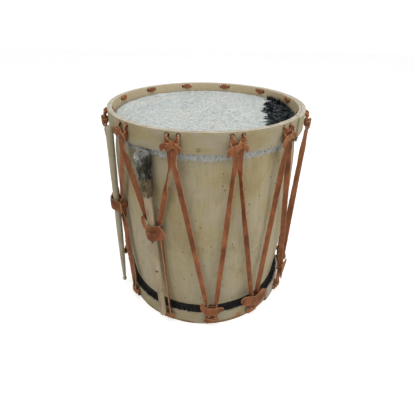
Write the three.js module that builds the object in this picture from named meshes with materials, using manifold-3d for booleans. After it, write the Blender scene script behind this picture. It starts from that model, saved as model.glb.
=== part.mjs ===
// Bombo leguero: a hollowed trunk with a hide at each end, two bent wooden hoops that clamp the hides,
// a leather lace between the hoops with its sliding tension loops, and a stick and a mallet in the lacing.
// Millimetres, +Z up. The origin is the middle of the bottom hoop's lower rim.
// Azimuths are degrees about +Z, counted from the front (-Y) towards +X.

import * as THREE from "three";
import { mergeVertices } from "three/addons/utils/BufferGeometryUtils.js";
import Module from "manifold-3d";

// Fits
const fit = 0.3;
const cutOverrun = 4;

// Hoops, hides and shell
const drumHeight = 507;
const hoopOuterRadius = 220;
const hoopWall = 11;
const hoopHeight = 41.4;
const headDepth = 21.4;
const hideThickness = 2.4;
const hideEdgeChamfer = 2;
const upperSkirtReach = 15;
const lowerSkirtReach = 14;
const shellWall = 10;
const shellSwell = 8;
const shellSwellShares = [
  [0, 0], [0.06, 0.3], [0.18, 0.66], [0.34, 0.93], [0.5, 1], [0.66, 0.9], [0.82, 0.58], [0.93, 0.25], [1, 0],
];
const roundSegments = 60;

// The outer ply of each hoop laps over itself on the drum's right side
const lapWall = 4;
const lapSpan = 100;
const lapTaper = 20;
const topLapStart = 57;
const bottomLapStart = 50.6;

// Lace
const laceWidth = 12;
const laceThickness = 3;
const edgewiseWidth = 9.4;
const foldedWidth = 7;
const foldedThickness = 4.2;
const innerBend = 3.2;
const twistLength = 60;
const twistLimitShare = 0.42;
const twistSteps = 3;
const laceHoleRadius = 4.9;
const laceHoleSegments = 8;
const laceHoleSpacing = 21.6;
const topStitchMargin = 1.6;
const bottomStitchMargin = 4;

// Ties, the collars that bind the two strands on the face of a hoop
const tieCount = 12;
const tieWall = 3;
const tieHeight = 13;
const topTieDrop = 10.5;
const tieUpperSpread = 7.4;
const tieLowerSpread = 5;
const tieTailLength = 8;
const tieClearance = 0.4;
const tieLead = 1;
const joinDrop = 20;
const joinLength = 12;
const bottomTieRise = 17;
const bottomTieSpread = 7;
const bottomTieAzimuths = [5, 34, 65, 90, 120, 150, 180, 210, 240, 270, 304, 336.7];

// Sliders, the loops that draw the two strands of a V together
const sliderWall = 3;
const sliderHeight = 22;
const raisedSliderHeight = 27;
const sliderSpread = 12;
const sliderClearance = 0.4;
const sliderTailLength = 9;
const sliderEarLength = 8;
const heldOffset = 5;
const heldClearance = 0.35;
const raisedStrandInset = 6;
const sliderHeightShares = [0.126, 0.12, 0.178, 0.13, 0.115, 0.142, 0.118, 0.134, 0.122, 0.138, 0.588, 0.557];
const stickSlider = 10;
const malletSlider = 11;

// Drumstick, thick at its butt end, with a small ball at its tip
const stickButtRadius = 8;
const stickButtDrop = 20;
const stickTipHeight = 24;
const stickButtGap = 1.7;
const stickTipGap = 4;
const stickButtAzimuth = -57.1;
const stickTipAzimuth = -68.4;
const stickSegments = 14;
const stickGripShare = 0.95;
const stickProfileShares = [
  [0, 0.2], [0.005, 0.44], [0.014, 0.58], [0.024, 0.5], [0.034, 0.43], [0.07, 0.56], [0.19, 0.78],
  [0.44, 0.95], [0.7, 0.88], [0.81, 0.96], [0.965, 1], [0.99, 0.86], [1, 0.45],
];

// Mallet, a branch with a fur head tied on
const malletHeadRadius = 17;
const malletHeadLength = 56;
const malletHeadCover = 22;
const malletHeadGap = 4.7;
const malletWrapRadius = 15.5;
const malletWrapLength = 44;
const malletHandleRadius = 7.7;
const malletNeckRadius = 9;
const malletNeckLength = 145;
const malletShoulderLength = 112;
const malletEndHeight = 42;
const malletShellGap = 2;
const malletTopAzimuth = -31.75;
const malletEndAzimuth = -24;
const malletHeadShares = [[0, 0.74], [0.4, 0.86], [0.76, 1], [0.92, 0.8], [0.98, 0.45]];
const malletWrapShares = [[0, 0.88], [0.3, 0.86], [0.85, 1], [1, 0.9]];

// Places and directions
const degrees = Math.PI / 180;
const upward = new THREE.Vector3(0, 0, 1);
const tieStep = 360 / tieCount;

function outward(azimuth) {
  return new THREE.Vector3(Math.sin(azimuth * degrees), -Math.cos(azimuth * degrees), 0);
}

function sideways(azimuth) {
  return new THREE.Vector3(Math.cos(azimuth * degrees), Math.sin(azimuth * degrees), 0);
}

function placeAt(azimuth, radius, height, offset = 0) {
  return outward(azimuth)
    .multiplyScalar(radius)
    .addScaledVector(sideways(azimuth), offset)
    .addScaledVector(upward, height);
}

function arcDegrees(length, radius) {
  return length / radius / degrees;
}

// Sizes that follow from the driving ones
const hoopInnerRadius = hoopOuterRadius - hoopWall;
const skirtOuterRadius = hoopInnerRadius - fit;
const skirtInnerRadius = skirtOuterRadius - hideThickness;
const shellOuterRadius = skirtInnerRadius - fit;
const topHoopBase = drumHeight - hoopHeight;
const topHideLevel = drumHeight - headDepth;
const topHoleHeight = drumHeight - topStitchMargin - laceWidth / 2;
const bottomHoleHeight = bottomStitchMargin + laceWidth / 2;
const stitchRadius = hoopInnerRadius - 2 * fit - foldedThickness / 2;
const tieBackGap = fit + tieWall + fit;
const strandGap = tieBackGap + edgewiseWidth / 2;
const tieReach = tieBackGap + edgewiseWidth + fit + tieWall;
const topTieHeight = topHoleHeight - topTieDrop - tieHeight / 2;
const bottomTieHeight = bottomHoleHeight + bottomTieRise;

function lapAt(azimuth, lapStart) {
  const along = THREE.MathUtils.euclideanModulo(azimuth - lapStart, 360);
  return along > lapSpan ? 0 : lapWall * Math.min(1, (lapSpan - along) / lapTaper);
}

// The face that a tie sits on is the outermost part of the hoop behind it
function seatRadius(azimuth, lapStart) {
  const halfSeat = arcDegrees(tieUpperSpread + laceThickness + tieWall, hoopOuterRadius);
  const laps = [-halfSeat, 0, halfSeat].map((turn) => lapAt(azimuth + turn, lapStart));
  return hoopOuterRadius + Math.max(...laps);
}

// Finishes
const wood = { color: 0xa89a78, roughness: 0.75, metalness: 0 };
const hoopWood = { color: 0xb5a98c, roughness: 0.7, metalness: 0 };
const rawhide = { color: 0xc4c8c6, roughness: 0.85, metalness: 0 };
const darkHide = { color: 0x2a2a28, roughness: 0.9, metalness: 0 };
const leather = { color: 0x7b523a, roughness: 0.6, metalness: 0 };
const paleWood = { color: 0xb7a888, roughness: 0.7, metalness: 0 };
const fur = { color: 0x4a443c, roughness: 1, metalness: 0 };
const binding = { color: 0x695c48, roughness: 0.95, metalness: 0 };

const drum = new THREE.Group();

function addPiece(name, geometry, finish, frame = new THREE.Matrix4()) {
  const mesh = new THREE.Mesh(geometry, new THREE.MeshStandardMaterial(finish));
  mesh.name = name;
  frame.decompose(mesh.position, mesh.quaternion, mesh.scale);
  drum.add(mesh);
}

// Solids
const wasm = await Module();
wasm.setup();

function toSolid(geometry) {
  const bare = geometry.clone();
  bare.deleteAttribute("normal");
  bare.deleteAttribute("uv");
  const merged = mergeVertices(bare);
  const vertProperties = new Float32Array(merged.attributes.position.array);
  const triVerts = new Uint32Array(merged.index.array);
  return new wasm.Manifold(new wasm.Mesh({ numProp: 3, vertProperties, triVerts }));
}

function toGeometry(solid) {
  const mesh = solid.getMesh();
  const geometry = new THREE.BufferGeometry();
  geometry.setAttribute("position", new THREE.BufferAttribute(mesh.vertProperties, 3));
  geometry.setIndex(new THREE.BufferAttribute(mesh.triVerts, 1));
  geometry.computeVertexNormals();
  return geometry;
}

// A closed profile of [radius, height] points turned about +Z
function turned(profile, segments) {
  const points = profile.map(([radius, height]) => new THREE.Vector2(radius, height));
  const geometry = new THREE.LatheGeometry(points, segments);
  geometry.rotateX(Math.PI / 2);
  return geometry;
}

// Shell and hides. The hollowed trunk swells a little between the two hides.
function addShell() {
  const low = headDepth + hideThickness + fit;
  const high = topHideLevel - hideThickness - fit;
  const swellLow = hoopHeight + lowerSkirtReach;
  const swellHigh = topHoopBase - upperSkirtReach;
  const swollen = shellSwellShares.map(([rise, swell]) => [
    shellOuterRadius + shellSwell * swell,
    THREE.MathUtils.lerp(swellLow, swellHigh, rise),
  ]);
  const outside = [[shellOuterRadius, low], ...swollen, [shellOuterRadius, high]];
  const inside = outside.map(([radius, height]) => [radius - shellWall, height]).reverse();
  addPiece("shell", turned([...outside, ...inside, outside[0]], roundSegments), wood);
}

// A hide lies flat over the shell's end and runs down its side as a skirt, under the hoop and past it.
// Its profile is drawn from the flat face, at height zero.
function hideProfile(skirtLength) {
  return [
    [0, -hideThickness],
    [skirtInnerRadius, -hideThickness],
    [skirtInnerRadius, -skirtLength],
    [skirtOuterRadius, -skirtLength],
    [skirtOuterRadius, -hideEdgeChamfer],
    [skirtOuterRadius - hideEdgeChamfer, 0],
    [0, 0],
  ];
}

function addHides() {
  const covered = hoopHeight - headDepth;
  const top = hideProfile(covered + upperSkirtReach).map(([radius, height]) => [radius, topHideLevel + height]);
  addPiece("top_head", turned(top, roundSegments), rawhide);
  const bottom = hideProfile(covered + lowerSkirtReach).map(([radius, height]) => [radius, headDepth - height]);
  addPiece("bottom_head", turned(bottom.reverse(), roundSegments), darkHide);
}

// Hoops
function laceHole(azimuth, height) {
  const holeRadius = laceHoleRadius / Math.cos(Math.PI / laceHoleSegments);
  const length = hoopWall + lapWall + 2 * cutOverrun;
  const hole = new THREE.CylinderGeometry(holeRadius, holeRadius, length, laceHoleSegments);
  const along = new THREE.Quaternion().setFromUnitVectors(new THREE.Vector3(0, 1, 0), outward(azimuth));
  hole.applyQuaternion(along);
  const middle = placeAt(azimuth, (hoopInnerRadius + hoopOuterRadius + lapWall) / 2, height);
  hole.translate(middle.x, middle.y, middle.z);
  return toSolid(hole);
}

function holeTurn() {
  return arcDegrees(laceHoleSpacing / 2, hoopOuterRadius);
}

function addHoop(name, base, lapStart, tieAzimuths, holeHeight) {
  const outline = new THREE.Shape();
  const start = outward(lapStart).multiplyScalar(hoopOuterRadius);
  outline.moveTo(start.x, start.y);
  for (let step = 0; step < roundSegments; step += 1) {
    const azimuth = lapStart + (360 * step) / roundSegments;
    const point = outward(azimuth).multiplyScalar(hoopOuterRadius + lapAt(azimuth, lapStart));
    outline.lineTo(point.x, point.y);
  }
  const bore = new THREE.Path();
  for (let step = 0; step < roundSegments; step += 1) {
    const point = outward((360 * step) / roundSegments).multiplyScalar(hoopInnerRadius);
    if (step === 0) bore.moveTo(point.x, point.y);
    else bore.lineTo(point.x, point.y);
  }
  outline.holes.push(bore);
  const blank = new THREE.ExtrudeGeometry(outline, { depth: hoopHeight, bevelEnabled: false });
  blank.translate(0, 0, base);
  let hoop = toSolid(blank);
  for (const azimuth of tieAzimuths) {
    hoop = hoop.subtract(laceHole(azimuth - holeTurn(), holeHeight));
    hoop = hoop.subtract(laceHole(azimuth + holeTurn(), holeHeight));
  }
  addPiece(name, toGeometry(hoop), hoopWood);
}

// The frame of a band: x along the hoop, y towards the drum's axis, z along the strands
function bandFrame(origin, azimuth, along) {
  const across = sideways(azimuth).addScaledVector(along, -sideways(azimuth).dot(along)).normalize();
  const inward = new THREE.Vector3().crossVectors(along, across);
  return new THREE.Matrix4().makeBasis(across, inward, along).setPosition(origin);
}

// A rounded rectangle. With a tail, its outer left corner runs on sideways to a point.
function traceRounded(path, halfWidth, outReach, inReach, corner, tailLength = 0) {
  path.moveTo(tailLength > 0 ? -halfWidth - tailLength : -halfWidth + corner, -outReach);
  path.lineTo(halfWidth - corner, -outReach);
  path.absarc(halfWidth - corner, -outReach + corner, corner, -Math.PI / 2, 0);
  path.absarc(halfWidth - corner, inReach - corner, corner, 0, Math.PI / 2);
  path.absarc(-halfWidth + corner, inReach - corner, corner, Math.PI / 2, Math.PI);
  if (tailLength > 0) path.lineTo(-halfWidth, -outReach + corner);
  else path.absarc(-halfWidth + corner, -outReach + corner, corner, Math.PI, 1.5 * Math.PI);
}

// A flat leather strip bent into a closed band, with its cavity measured from the frame's origin
function bandSolid({ halfWidth, outReach, inReach, wall, height, tailLength = 0 }) {
  const outline = new THREE.Shape();
  const cavityCorner = wall / 3;
  traceRounded(outline, halfWidth + wall, outReach + wall, inReach + wall, cavityCorner + wall, tailLength);
  const cavity = new THREE.Path();
  traceRounded(cavity, halfWidth, outReach, inReach, cavityCorner);
  outline.holes.push(cavity);
  const band = new THREE.ExtrudeGeometry(outline, { depth: height, bevelEnabled: false, curveSegments: 1 });
  band.translate(0, 0, -height / 2);
  return toSolid(band);
}

// A flat flap in the band's outer wall, from [x, z] points
function flapSolid(points, outReach, wall) {
  const outline = new THREE.Shape(points.map(([x, z]) => new THREE.Vector2(x, z)));
  const flap = new THREE.ExtrudeGeometry(outline, { depth: wall, bevelEnabled: false });
  flap.rotateX(Math.PI / 2);
  flap.translate(0, -outReach, 0);
  return toSolid(flap);
}

// Ties
function addTie(name, azimuth, height, seat, spread) {
  const band = {
    halfWidth: spread + laceThickness / 2 + tieClearance,
    outReach: edgewiseWidth / 2 + fit,
    inReach: edgewiseWidth / 2 + fit,
    wall: tieWall,
    height: tieHeight,
    tailLength: tieTailLength,
  };
  const frame = bandFrame(placeAt(azimuth, seat + strandGap, height), azimuth, upward);
  addPiece(name, toGeometry(bandSolid(band)), leather, frame);
}

// Stick and mallet axes, from the lower end to the upper end
function axisLine(lowEnd, highEnd) {
  const along = highEnd.clone().sub(lowEnd);
  const length = along.length();
  along.normalize();
  const frame = new THREE.Matrix4()
    .makeRotationFromQuaternion(new THREE.Quaternion().setFromUnitVectors(upward, along))
    .setPosition(lowEnd);
  const atHeight = (height) => lowEnd.clone().addScaledVector(along, (height - lowEnd.z) / along.z);
  return { along, length, frame, atHeight };
}

const stickAxis = axisLine(
  placeAt(stickTipAzimuth, hoopOuterRadius + tieReach + stickButtRadius / 2 + stickTipGap, stickTipHeight),
  placeAt(stickButtAzimuth, hoopOuterRadius + stickButtRadius + stickButtGap, drumHeight - stickButtDrop),
);
const malletAxis = axisLine(
  placeAt(malletEndAzimuth, hoopOuterRadius + tieReach + malletHandleRadius - fit, malletEndHeight),
  placeAt(malletTopAzimuth, shellOuterRadius + malletHeadRadius + malletShellGap, topHoopBase - malletHeadGap),
);

function addStick() {
  const profile = stickProfileShares.map(([along, girth]) => [girth * stickButtRadius, along * stickAxis.length]);
  const closed = [[0, 0], ...profile, [0, stickAxis.length]];
  addPiece("drumstick", turned(closed, stickSegments), paleWood, stickAxis.frame);
}

function addMallet() {
  const length = malletAxis.length;
  const headBase = length - malletHeadLength;
  const wrapBase = headBase - malletWrapLength;
  const handleTop = length - malletHeadCover;
  const handle = [
    [0, 0],
    [malletHandleRadius, 0],
    [malletHandleRadius, length - malletNeckLength],
    [malletNeckRadius, length - malletShoulderLength],
    [malletNeckRadius, handleTop],
    [0, handleTop],
  ];
  addPiece("mallet_handle", turned(handle, stickSegments), paleWood, malletAxis.frame);
  const bore = malletNeckRadius + fit;
  const headSide = malletHeadShares.map(([along, girth]) => [
    girth * malletHeadRadius,
    headBase + fit + along * (malletHeadLength - fit),
  ]);
  const head = [[0, handleTop + fit], [bore, handleTop + fit], [bore, headBase + fit], ...headSide, [0, length]];
  addPiece("mallet_head", turned(head, stickSegments), fur, malletAxis.frame);
  const wrapSide = malletWrapShares.map(([along, girth]) => [
    girth * malletWrapRadius,
    wrapBase + along * malletWrapLength,
  ]);
  const wrap = [[bore, wrapBase], ...wrapSide, [bore, headBase], [bore, wrapBase]];
  addPiece("mallet_wrap", turned(wrap, stickSegments), binding, malletAxis.frame);
}

// Sliders: what each one holds sets its place, its cavity and the way it slides
const heldBySlider = new Map([
  [stickSlider, { axis: stickAxis, radius: stickGripShare * stickButtRadius }],
  [malletSlider, { axis: malletAxis, radius: malletHandleRadius }],
]);

function sliderLayout(index) {
  const height = sliderHeightShares[index] * drumHeight;
  const held = heldBySlider.get(index);
  const strandHalf = laceThickness / 2;
  if (!held) {
    const azimuth = bottomTieAzimuths[index];
    const seat = seatRadius(azimuth, bottomLapStart);
    return {
      azimuth,
      frame: bandFrame(placeAt(azimuth, seat + strandGap, height), azimuth, upward),
      strandDepth: 0,
      spreads: { left: sliderSpread, right: sliderSpread },
      halfWidth: sliderSpread + strandHalf + sliderClearance,
      outReach: edgewiseWidth / 2 + fit,
      inReach: edgewiseWidth / 2 + fit,
      height: sliderHeight,
    };
  }
  const middle = held.axis.atHeight(height);
  const heldRadius = Math.hypot(middle.x, middle.y);
  const heldAzimuth = THREE.MathUtils.euclideanModulo(Math.atan2(middle.x, -middle.y) / degrees, 360);
  const azimuth = heldAzimuth + arcDegrees(heldOffset, heldRadius);
  const origin = placeAt(azimuth, heldRadius, height);
  const strandRadius = hoopOuterRadius + strandGap - raisedStrandInset;
  const left = heldOffset + held.radius + heldClearance + strandHalf;
  const right = Math.max(sliderSpread, held.radius + heldClearance + strandHalf - heldOffset);
  return {
    azimuth,
    frame: bandFrame(origin, azimuth, held.axis.along),
    strandDepth: heldRadius - strandRadius,
    spreads: { left, right },
    halfWidth: left + strandHalf + sliderClearance,
    outReach: held.radius + heldClearance,
    inReach: heldRadius - strandRadius + edgewiseWidth / 2 + sliderClearance,
    height: raisedSliderHeight,
  };
}

function addSlider(name, layout) {
  const { halfWidth, outReach, height } = layout;
  const edge = halfWidth + sliderWall;
  const tail = [
    [edge / 2, -height / 3],
    [edge, -height / 3],
    [edge + sliderTailLength, -height / 8],
    [edge + sliderTailLength, height / 8],
    [edge / 2, height / 3],
  ];
  const ear = [
    [-edge / 2, 0],
    [-edge / 2, height / 3],
    [-edge + sliderWall / 2, height / 2 + sliderEarLength],
    [-edge - sliderEarLength / 2, height / 2 + sliderEarLength],
    [-edge - sliderEarLength / 2, height / 2],
    [-edge, 0],
  ];
  const solid = bandSolid({ ...layout, wall: sliderWall })
    .add(flapSolid(tail, outReach, sliderWall))
    .add(flapSolid(ear, outReach, sliderWall));
  addPiece(name, toGeometry(solid), leather, layout.frame);
}

// Lace stations: centre, the direction of the strap's width, its width and its thickness
function station(centre, flat, width, thickness) {
  return { centre, flat, width, thickness };
}

function blendStations(from, to, share, flat, width) {
  return station(from.centre.clone().lerp(to.centre, share), flat, width, laceThickness);
}

// From the middle of a stitch inside a hoop, through the hole and round onto the hoop's face.
// The side is -1 where the stitch lies clockwise of the hole, and vertical is -1 at the top hoop.
function passHoop(holeAzimuth, side, vertical, holeHeight, seat, stitchEnd) {
  const flatUp = upward.clone().multiplyScalar(-vertical);
  const reach = arcDegrees(innerBend, stitchRadius);
  const bendStart = holeAzimuth + side * reach;
  const stations = [
    station(placeAt(stitchEnd, stitchRadius, holeHeight), flatUp, laceWidth, laceThickness),
    station(placeAt((stitchEnd + bendStart) / 2, stitchRadius, holeHeight), flatUp, laceWidth, laceThickness),
  ];
  for (const turn of [0, 45, 90]) {
    const radius = stitchRadius + innerBend * (1 - Math.cos(turn * degrees));
    const offset = side * innerBend * (1 - Math.sin(turn * degrees));
    const centre = placeAt(holeAzimuth, radius, holeHeight, offset);
    stations.push(station(centre, flatUp, foldedWidth, turn === 0 ? laceThickness : foldedThickness));
  }
  const outerBend = strandGap - fit;
  for (const turn of [0, 45, 90]) {
    const radius = seat + fit + outerBend * Math.sin(turn * degrees);
    const height = holeHeight + vertical * outerBend * (1 - Math.cos(turn * degrees));
    const flat = flatUp.clone()
      .multiplyScalar(Math.cos(turn * degrees))
      .addScaledVector(outward(holeAzimuth), Math.sin(turn * degrees));
    const share = turn / 90;
    const width = THREE.MathUtils.lerp(foldedWidth, edgewiseWidth, share);
    const thickness = THREE.MathUtils.lerp(foldedThickness, laceThickness, share);
    stations.push(station(placeAt(holeAzimuth, radius, height), flat, width, thickness));
  }
  return stations;
}

// A straight strand that stands edgewise at both ends and turns flat between them, a little at each station
function strandSpan(from, to, azimuth) {
  const length = from.centre.distanceTo(to.centre);
  const twistShare = Math.min(twistLength / length, twistLimitShare);
  const stations = [];
  const addTwisted = (share, turned) => {
    const turn = (turned * Math.PI) / 2;
    const flat = outward(azimuth)
      .multiplyScalar(Math.cos(turn))
      .addScaledVector(sideways(azimuth), Math.sin(turn));
    const width = THREE.MathUtils.lerp(edgewiseWidth, laceWidth, turned);
    stations.push(blendStations(from, to, share, flat, width));
  };
  for (let step = 1; step <= twistSteps; step += 1) addTwisted((twistShare * step) / twistSteps, step / twistSteps);
  for (let step = twistSteps; step > 0; step -= 1) addTwisted(1 - (twistShare * step) / twistSteps, step / twistSteps);
  return stations;
}

// One strand of a V, from the middle of the top stitch to the middle of the bottom stitch
function strandStations(index, side, layout) {
  const edgewise = (azimuth, radius, height, offset) =>
    station(placeAt(azimuth, radius, height, offset), outward(azimuth), edgewiseWidth, laceThickness);
  const topAzimuth = tieStep * (index + side / 2);
  const topSeat = seatRadius(topAzimuth, topLapStart);
  const topHole = topAzimuth - side * holeTurn();
  const stitchEnd = topAzimuth - side * arcDegrees(fit / 2, stitchRadius);
  const stations = passHoop(topHole, side, -1, topHoleHeight, topSeat, stitchEnd);
  const joinSpread = laceThickness / 2 + 2 * fit;
  const tieTop = topTieHeight + tieHeight / 2 + tieLead;
  const tieBase = topTieHeight - tieHeight / 2 - tieLead;
  const joinTop = topTieHeight - joinDrop;
  stations.push(edgewise(topAzimuth, topSeat + strandGap, tieTop, -side * tieUpperSpread));
  stations.push(edgewise(topAzimuth, topSeat + strandGap, tieBase, -side * tieLowerSpread));
  stations.push(edgewise(topAzimuth, topSeat + strandGap, joinTop, -side * joinSpread));
  const parting = edgewise(topAzimuth, topSeat + strandGap, joinTop - joinLength, -side * joinSpread);
  stations.push(parting);
  const spread = side < 0 ? layout.spreads.left : layout.spreads.right;
  const bandEnd = (end) => {
    const local = new THREE.Vector3(side * spread, layout.strandDepth, end * (layout.height / 2 + tieLead));
    return station(local.applyMatrix4(layout.frame), outward(layout.azimuth), edgewiseWidth, laceThickness);
  };
  const bandTop = bandEnd(1);
  const bandBase = bandEnd(-1);
  const spanAzimuth = (topAzimuth + layout.azimuth) / 2;
  stations.push(...strandSpan(parting, bandTop, spanAzimuth));
  stations.push(bandTop, bandBase);
  const bottomAzimuth = bottomTieAzimuths[index] - (index > tieCount / 2 ? 360 : 0);
  const bottomSeat = seatRadius(bottomAzimuth, bottomLapStart);
  const bottomRadius = bottomSeat + strandGap;
  const lowTieTop = bottomTieHeight + tieHeight / 2 + tieLead;
  const lowTieBase = bottomTieHeight - tieHeight / 2 - tieLead;
  const intoTie = edgewise(bottomAzimuth, bottomRadius, lowTieTop, side * bottomTieSpread);
  if (heldBySlider.has(index)) stations.push(...strandSpan(bandBase, intoTie, layout.azimuth));
  stations.push(intoTie);
  stations.push(edgewise(bottomAzimuth, bottomRadius, lowTieBase, side * bottomTieSpread));
  const bottomHole = bottomAzimuth + side * holeTurn();
  const below = passHoop(bottomHole, -side, 1, bottomHoleHeight, bottomSeat, bottomAzimuth);
  stations.push(...below.reverse());
  return stations;
}

// Sweeps the strap's section along its stations and closes both ends
function laceGeometry(stations) {
  const positions = [];
  stations.forEach(({ centre, flat, width, thickness }, index) => {
    const before = stations[Math.max(0, index - 1)].centre;
    const after = stations[Math.min(stations.length - 1, index + 1)].centre;
    const along = after.clone().sub(before).normalize();
    const across = flat.clone().addScaledVector(along, -flat.dot(along)).normalize();
    const through = new THREE.Vector3().crossVectors(along, across);
    for (const [widthSign, throughSign] of [[1, 1], [-1, 1], [-1, -1], [1, -1]]) {
      const corner = centre.clone()
        .addScaledVector(across, widthSign * width / 2)
        .addScaledVector(through, throughSign * thickness / 2);
      positions.push(corner.x, corner.y, corner.z);
    }
  });
  const triangles = [0, 2, 1, 0, 3, 2];
  for (let ring = 0; ring < stations.length - 1; ring += 1) {
    for (let corner = 0; corner < 4; corner += 1) {
      const here = ring * 4 + corner;
      const next = ring * 4 + ((corner + 1) % 4);
      triangles.push(here, next, next + 4, here, next + 4, here + 4);
    }
  }
  const last = (stations.length - 1) * 4;
  triangles.push(last, last + 1, last + 2, last, last + 2, last + 3);
  const geometry = new THREE.BufferGeometry();
  geometry.setAttribute("position", new THREE.Float32BufferAttribute(positions, 3));
  geometry.setIndex(triangles);
  geometry.computeVertexNormals();
  return geometry;
}

function addLacing() {
  for (let index = 0; index < tieCount; index += 1) {
    const number = String(index + 1).padStart(2, "0");
    const layout = sliderLayout(index);
    const left = strandStations(index, -1, layout);
    const right = strandStations(index, 1, layout).reverse();
    addPiece(`lace_${number}`, laceGeometry([...left, ...right.slice(1)]), leather);
    addSlider(`slider_${number}`, layout);
    const topAzimuth = tieStep * (index + 1 / 2);
    addTie(`top_tie_${number}`, topAzimuth, topTieHeight, seatRadius(topAzimuth, topLapStart), tieUpperSpread);
    const bottomAzimuth = bottomTieAzimuths[index];
    const bottomSeat = seatRadius(bottomAzimuth, bottomLapStart);
    addTie(`bottom_tie_${number}`, bottomAzimuth, bottomTieHeight, bottomSeat, bottomTieSpread);
  }
}

const topTieAzimuths = bottomTieAzimuths.map((azimuth, index) => tieStep * (index + 1 / 2));

addShell();
addHides();
addHoop("top_hoop", topHoopBase, topLapStart, topTieAzimuths, topHoleHeight);
addHoop("bottom_hoop", 0, bottomLapStart, bottomTieAzimuths, bottomHoleHeight);
addLacing();
addStick();
addMallet();

export default drum;
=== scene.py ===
# Bombo leguero: the dressed model. Metres, +Z up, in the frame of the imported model.
# Azimuths are degrees about +Z, counted from the front (-Y) towards +X.

import math
import random

import bmesh
import bpy
from mathutils import Matrix, Vector, noise


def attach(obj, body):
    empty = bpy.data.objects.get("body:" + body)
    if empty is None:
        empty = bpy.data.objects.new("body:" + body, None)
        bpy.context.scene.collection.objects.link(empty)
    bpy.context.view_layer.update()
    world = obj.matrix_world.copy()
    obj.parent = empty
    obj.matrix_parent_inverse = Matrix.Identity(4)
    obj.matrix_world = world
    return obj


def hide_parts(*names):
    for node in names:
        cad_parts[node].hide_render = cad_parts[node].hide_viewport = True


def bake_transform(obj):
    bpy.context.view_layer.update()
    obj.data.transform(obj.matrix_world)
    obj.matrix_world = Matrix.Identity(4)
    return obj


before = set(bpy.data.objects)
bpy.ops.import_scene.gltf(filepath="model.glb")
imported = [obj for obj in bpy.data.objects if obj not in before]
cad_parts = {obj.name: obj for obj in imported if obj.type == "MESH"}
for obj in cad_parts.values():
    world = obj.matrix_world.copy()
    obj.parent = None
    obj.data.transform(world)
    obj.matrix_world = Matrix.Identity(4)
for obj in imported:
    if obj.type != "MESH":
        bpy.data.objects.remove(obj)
bpy.context.scene.view_settings.view_transform = "Standard"
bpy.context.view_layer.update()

UP = Vector((0, 0, 1))


def outward(azimuth):
    """The direction away from the drum's axis at an azimuth."""
    turn = math.radians(azimuth)
    return Vector((math.sin(turn), -math.cos(turn), 0))


def sideways(azimuth):
    """The direction round the drum at an azimuth, to the right as seen from outside."""
    turn = math.radians(azimuth)
    return Vector((math.cos(turn), math.sin(turn), 0))


def place(azimuth, radius, height, offset=0.0):
    """A point by azimuth, radius and height, moved sideways by an offset."""
    return outward(azimuth) * radius + sideways(azimuth) * offset + UP * height


def arc_degrees(length, radius):
    return math.degrees(length / radius)


def mix(low, high, share):
    return low + (high - low) * share


def clamped(value):
    return min(1.0, max(0.0, value))


def smooth(share):
    share = clamped(share)
    return share * share * (3 - 2 * share)


def noise_at(x, y, z):
    return noise.noise(Vector((x, y, z)))


def noise_three(point):
    """Three noises of a point, the same in every run, as Blender's own vector noise isn't."""
    shifts = (Vector((9.3, -1.5, -8.0)), Vector((-7.1, 5.6, 2.9)), Vector((4.7, -3.2, 6.4)))
    return Vector([noise.noise(point + shift) for shift in shifts])


def flat_noise(point, scale, layer):
    """Noise by a point's X and Y; each layer is a noise of its own."""
    return noise_at(point.x * scale, point.y * scale, layer)


def round_noise(turn, scale, height):
    """Noise that closes on itself round an axis."""
    return noise_at(math.cos(turn) * scale, math.sin(turn) * scale, height)


def add_object(name, data):
    made = bpy.data.objects.new(name, data)
    bpy.context.scene.collection.objects.link(made)
    return made


# Camera, as fitted to the photo: pitch, yaw and roll in radians, and the picture column it looks along
CAMERA_SPOT = (0, -0.73425, 0.6834)
CAMERA_TURNS = (0.5654, 0.007, 0.015)
PICTURE_SIZE = 414
MIDDLE_COLUMN = 206.3


def make_camera():
    pitch, yaw, roll = CAMERA_TURNS
    level = math.cos(pitch)
    forward = Vector((math.sin(yaw) * level, math.cos(yaw) * level, -math.sin(pitch)))
    right = Vector((math.cos(yaw), -math.sin(yaw), 0))
    above = right.cross(forward)
    x_axis = right * math.cos(roll) + above * math.sin(roll)
    y_axis = above * math.cos(roll) - right * math.sin(roll)
    data = bpy.data.cameras.new("camera")
    data.sensor_width = 36
    data.lens = 26.96
    data.shift_x = (PICTURE_SIZE / 2 - MIDDLE_COLUMN) / PICTURE_SIZE
    camera = add_object("camera", data)
    turn = Matrix((x_axis, y_axis, -forward)).transposed()
    camera.matrix_world = Matrix.Translation(CAMERA_SPOT) @ turn.to_4x4()
    bpy.context.scene.camera = camera


make_camera()


# Sizes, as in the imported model
DRUM_HEIGHT = 0.507
HOOP_R = 0.220
HOOP_WALL = 0.011
HOOP_HEIGHT = 0.0414
HOOP_INNER = HOOP_R - HOOP_WALL
HEAD_DEPTH = 0.0214
HIDE = 0.0024
SKIRT_R = 0.2087
SHELL_R = 0.206
SHELL_WALL = 0.010
SHELL_SWELL = 0.008
SIDE_SWELL = 0.0056
SHELL_SWELL_SHARES = [
    (0, 0), (0.06, 0.3), (0.18, 0.66), (0.34, 0.93), (0.5, 1), (0.66, 0.9), (0.82, 0.58), (0.93, 0.25),
    (1, 0),
]
SIDE_SWELL_SHARES = [(0, 0), (0.3, 0.35), (0.55, 0.8), (0.75, 1), (0.9, 1), (0.965, 0.6), (1, 0)]
SHELL_LOW = 0.0241
SHELL_HIGH = 0.4829
TOP_HOOP_BASE = DRUM_HEIGHT - HOOP_HEIGHT
TOP_HIDE_LEVEL = DRUM_HEIGHT - HEAD_DEPTH
UPPER_SKIRT_END = 0.4506
LOWER_SKIRT_END = 0.0554
LAP_WALL = 0.004
LAP_SPAN = 100
LAP_TAPER = 20
TOP_LAP_START = 57
BOTTOM_LAP_START = 50.6
HOLE_R = 0.0049
HOLE_SPACING = 0.0216
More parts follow.
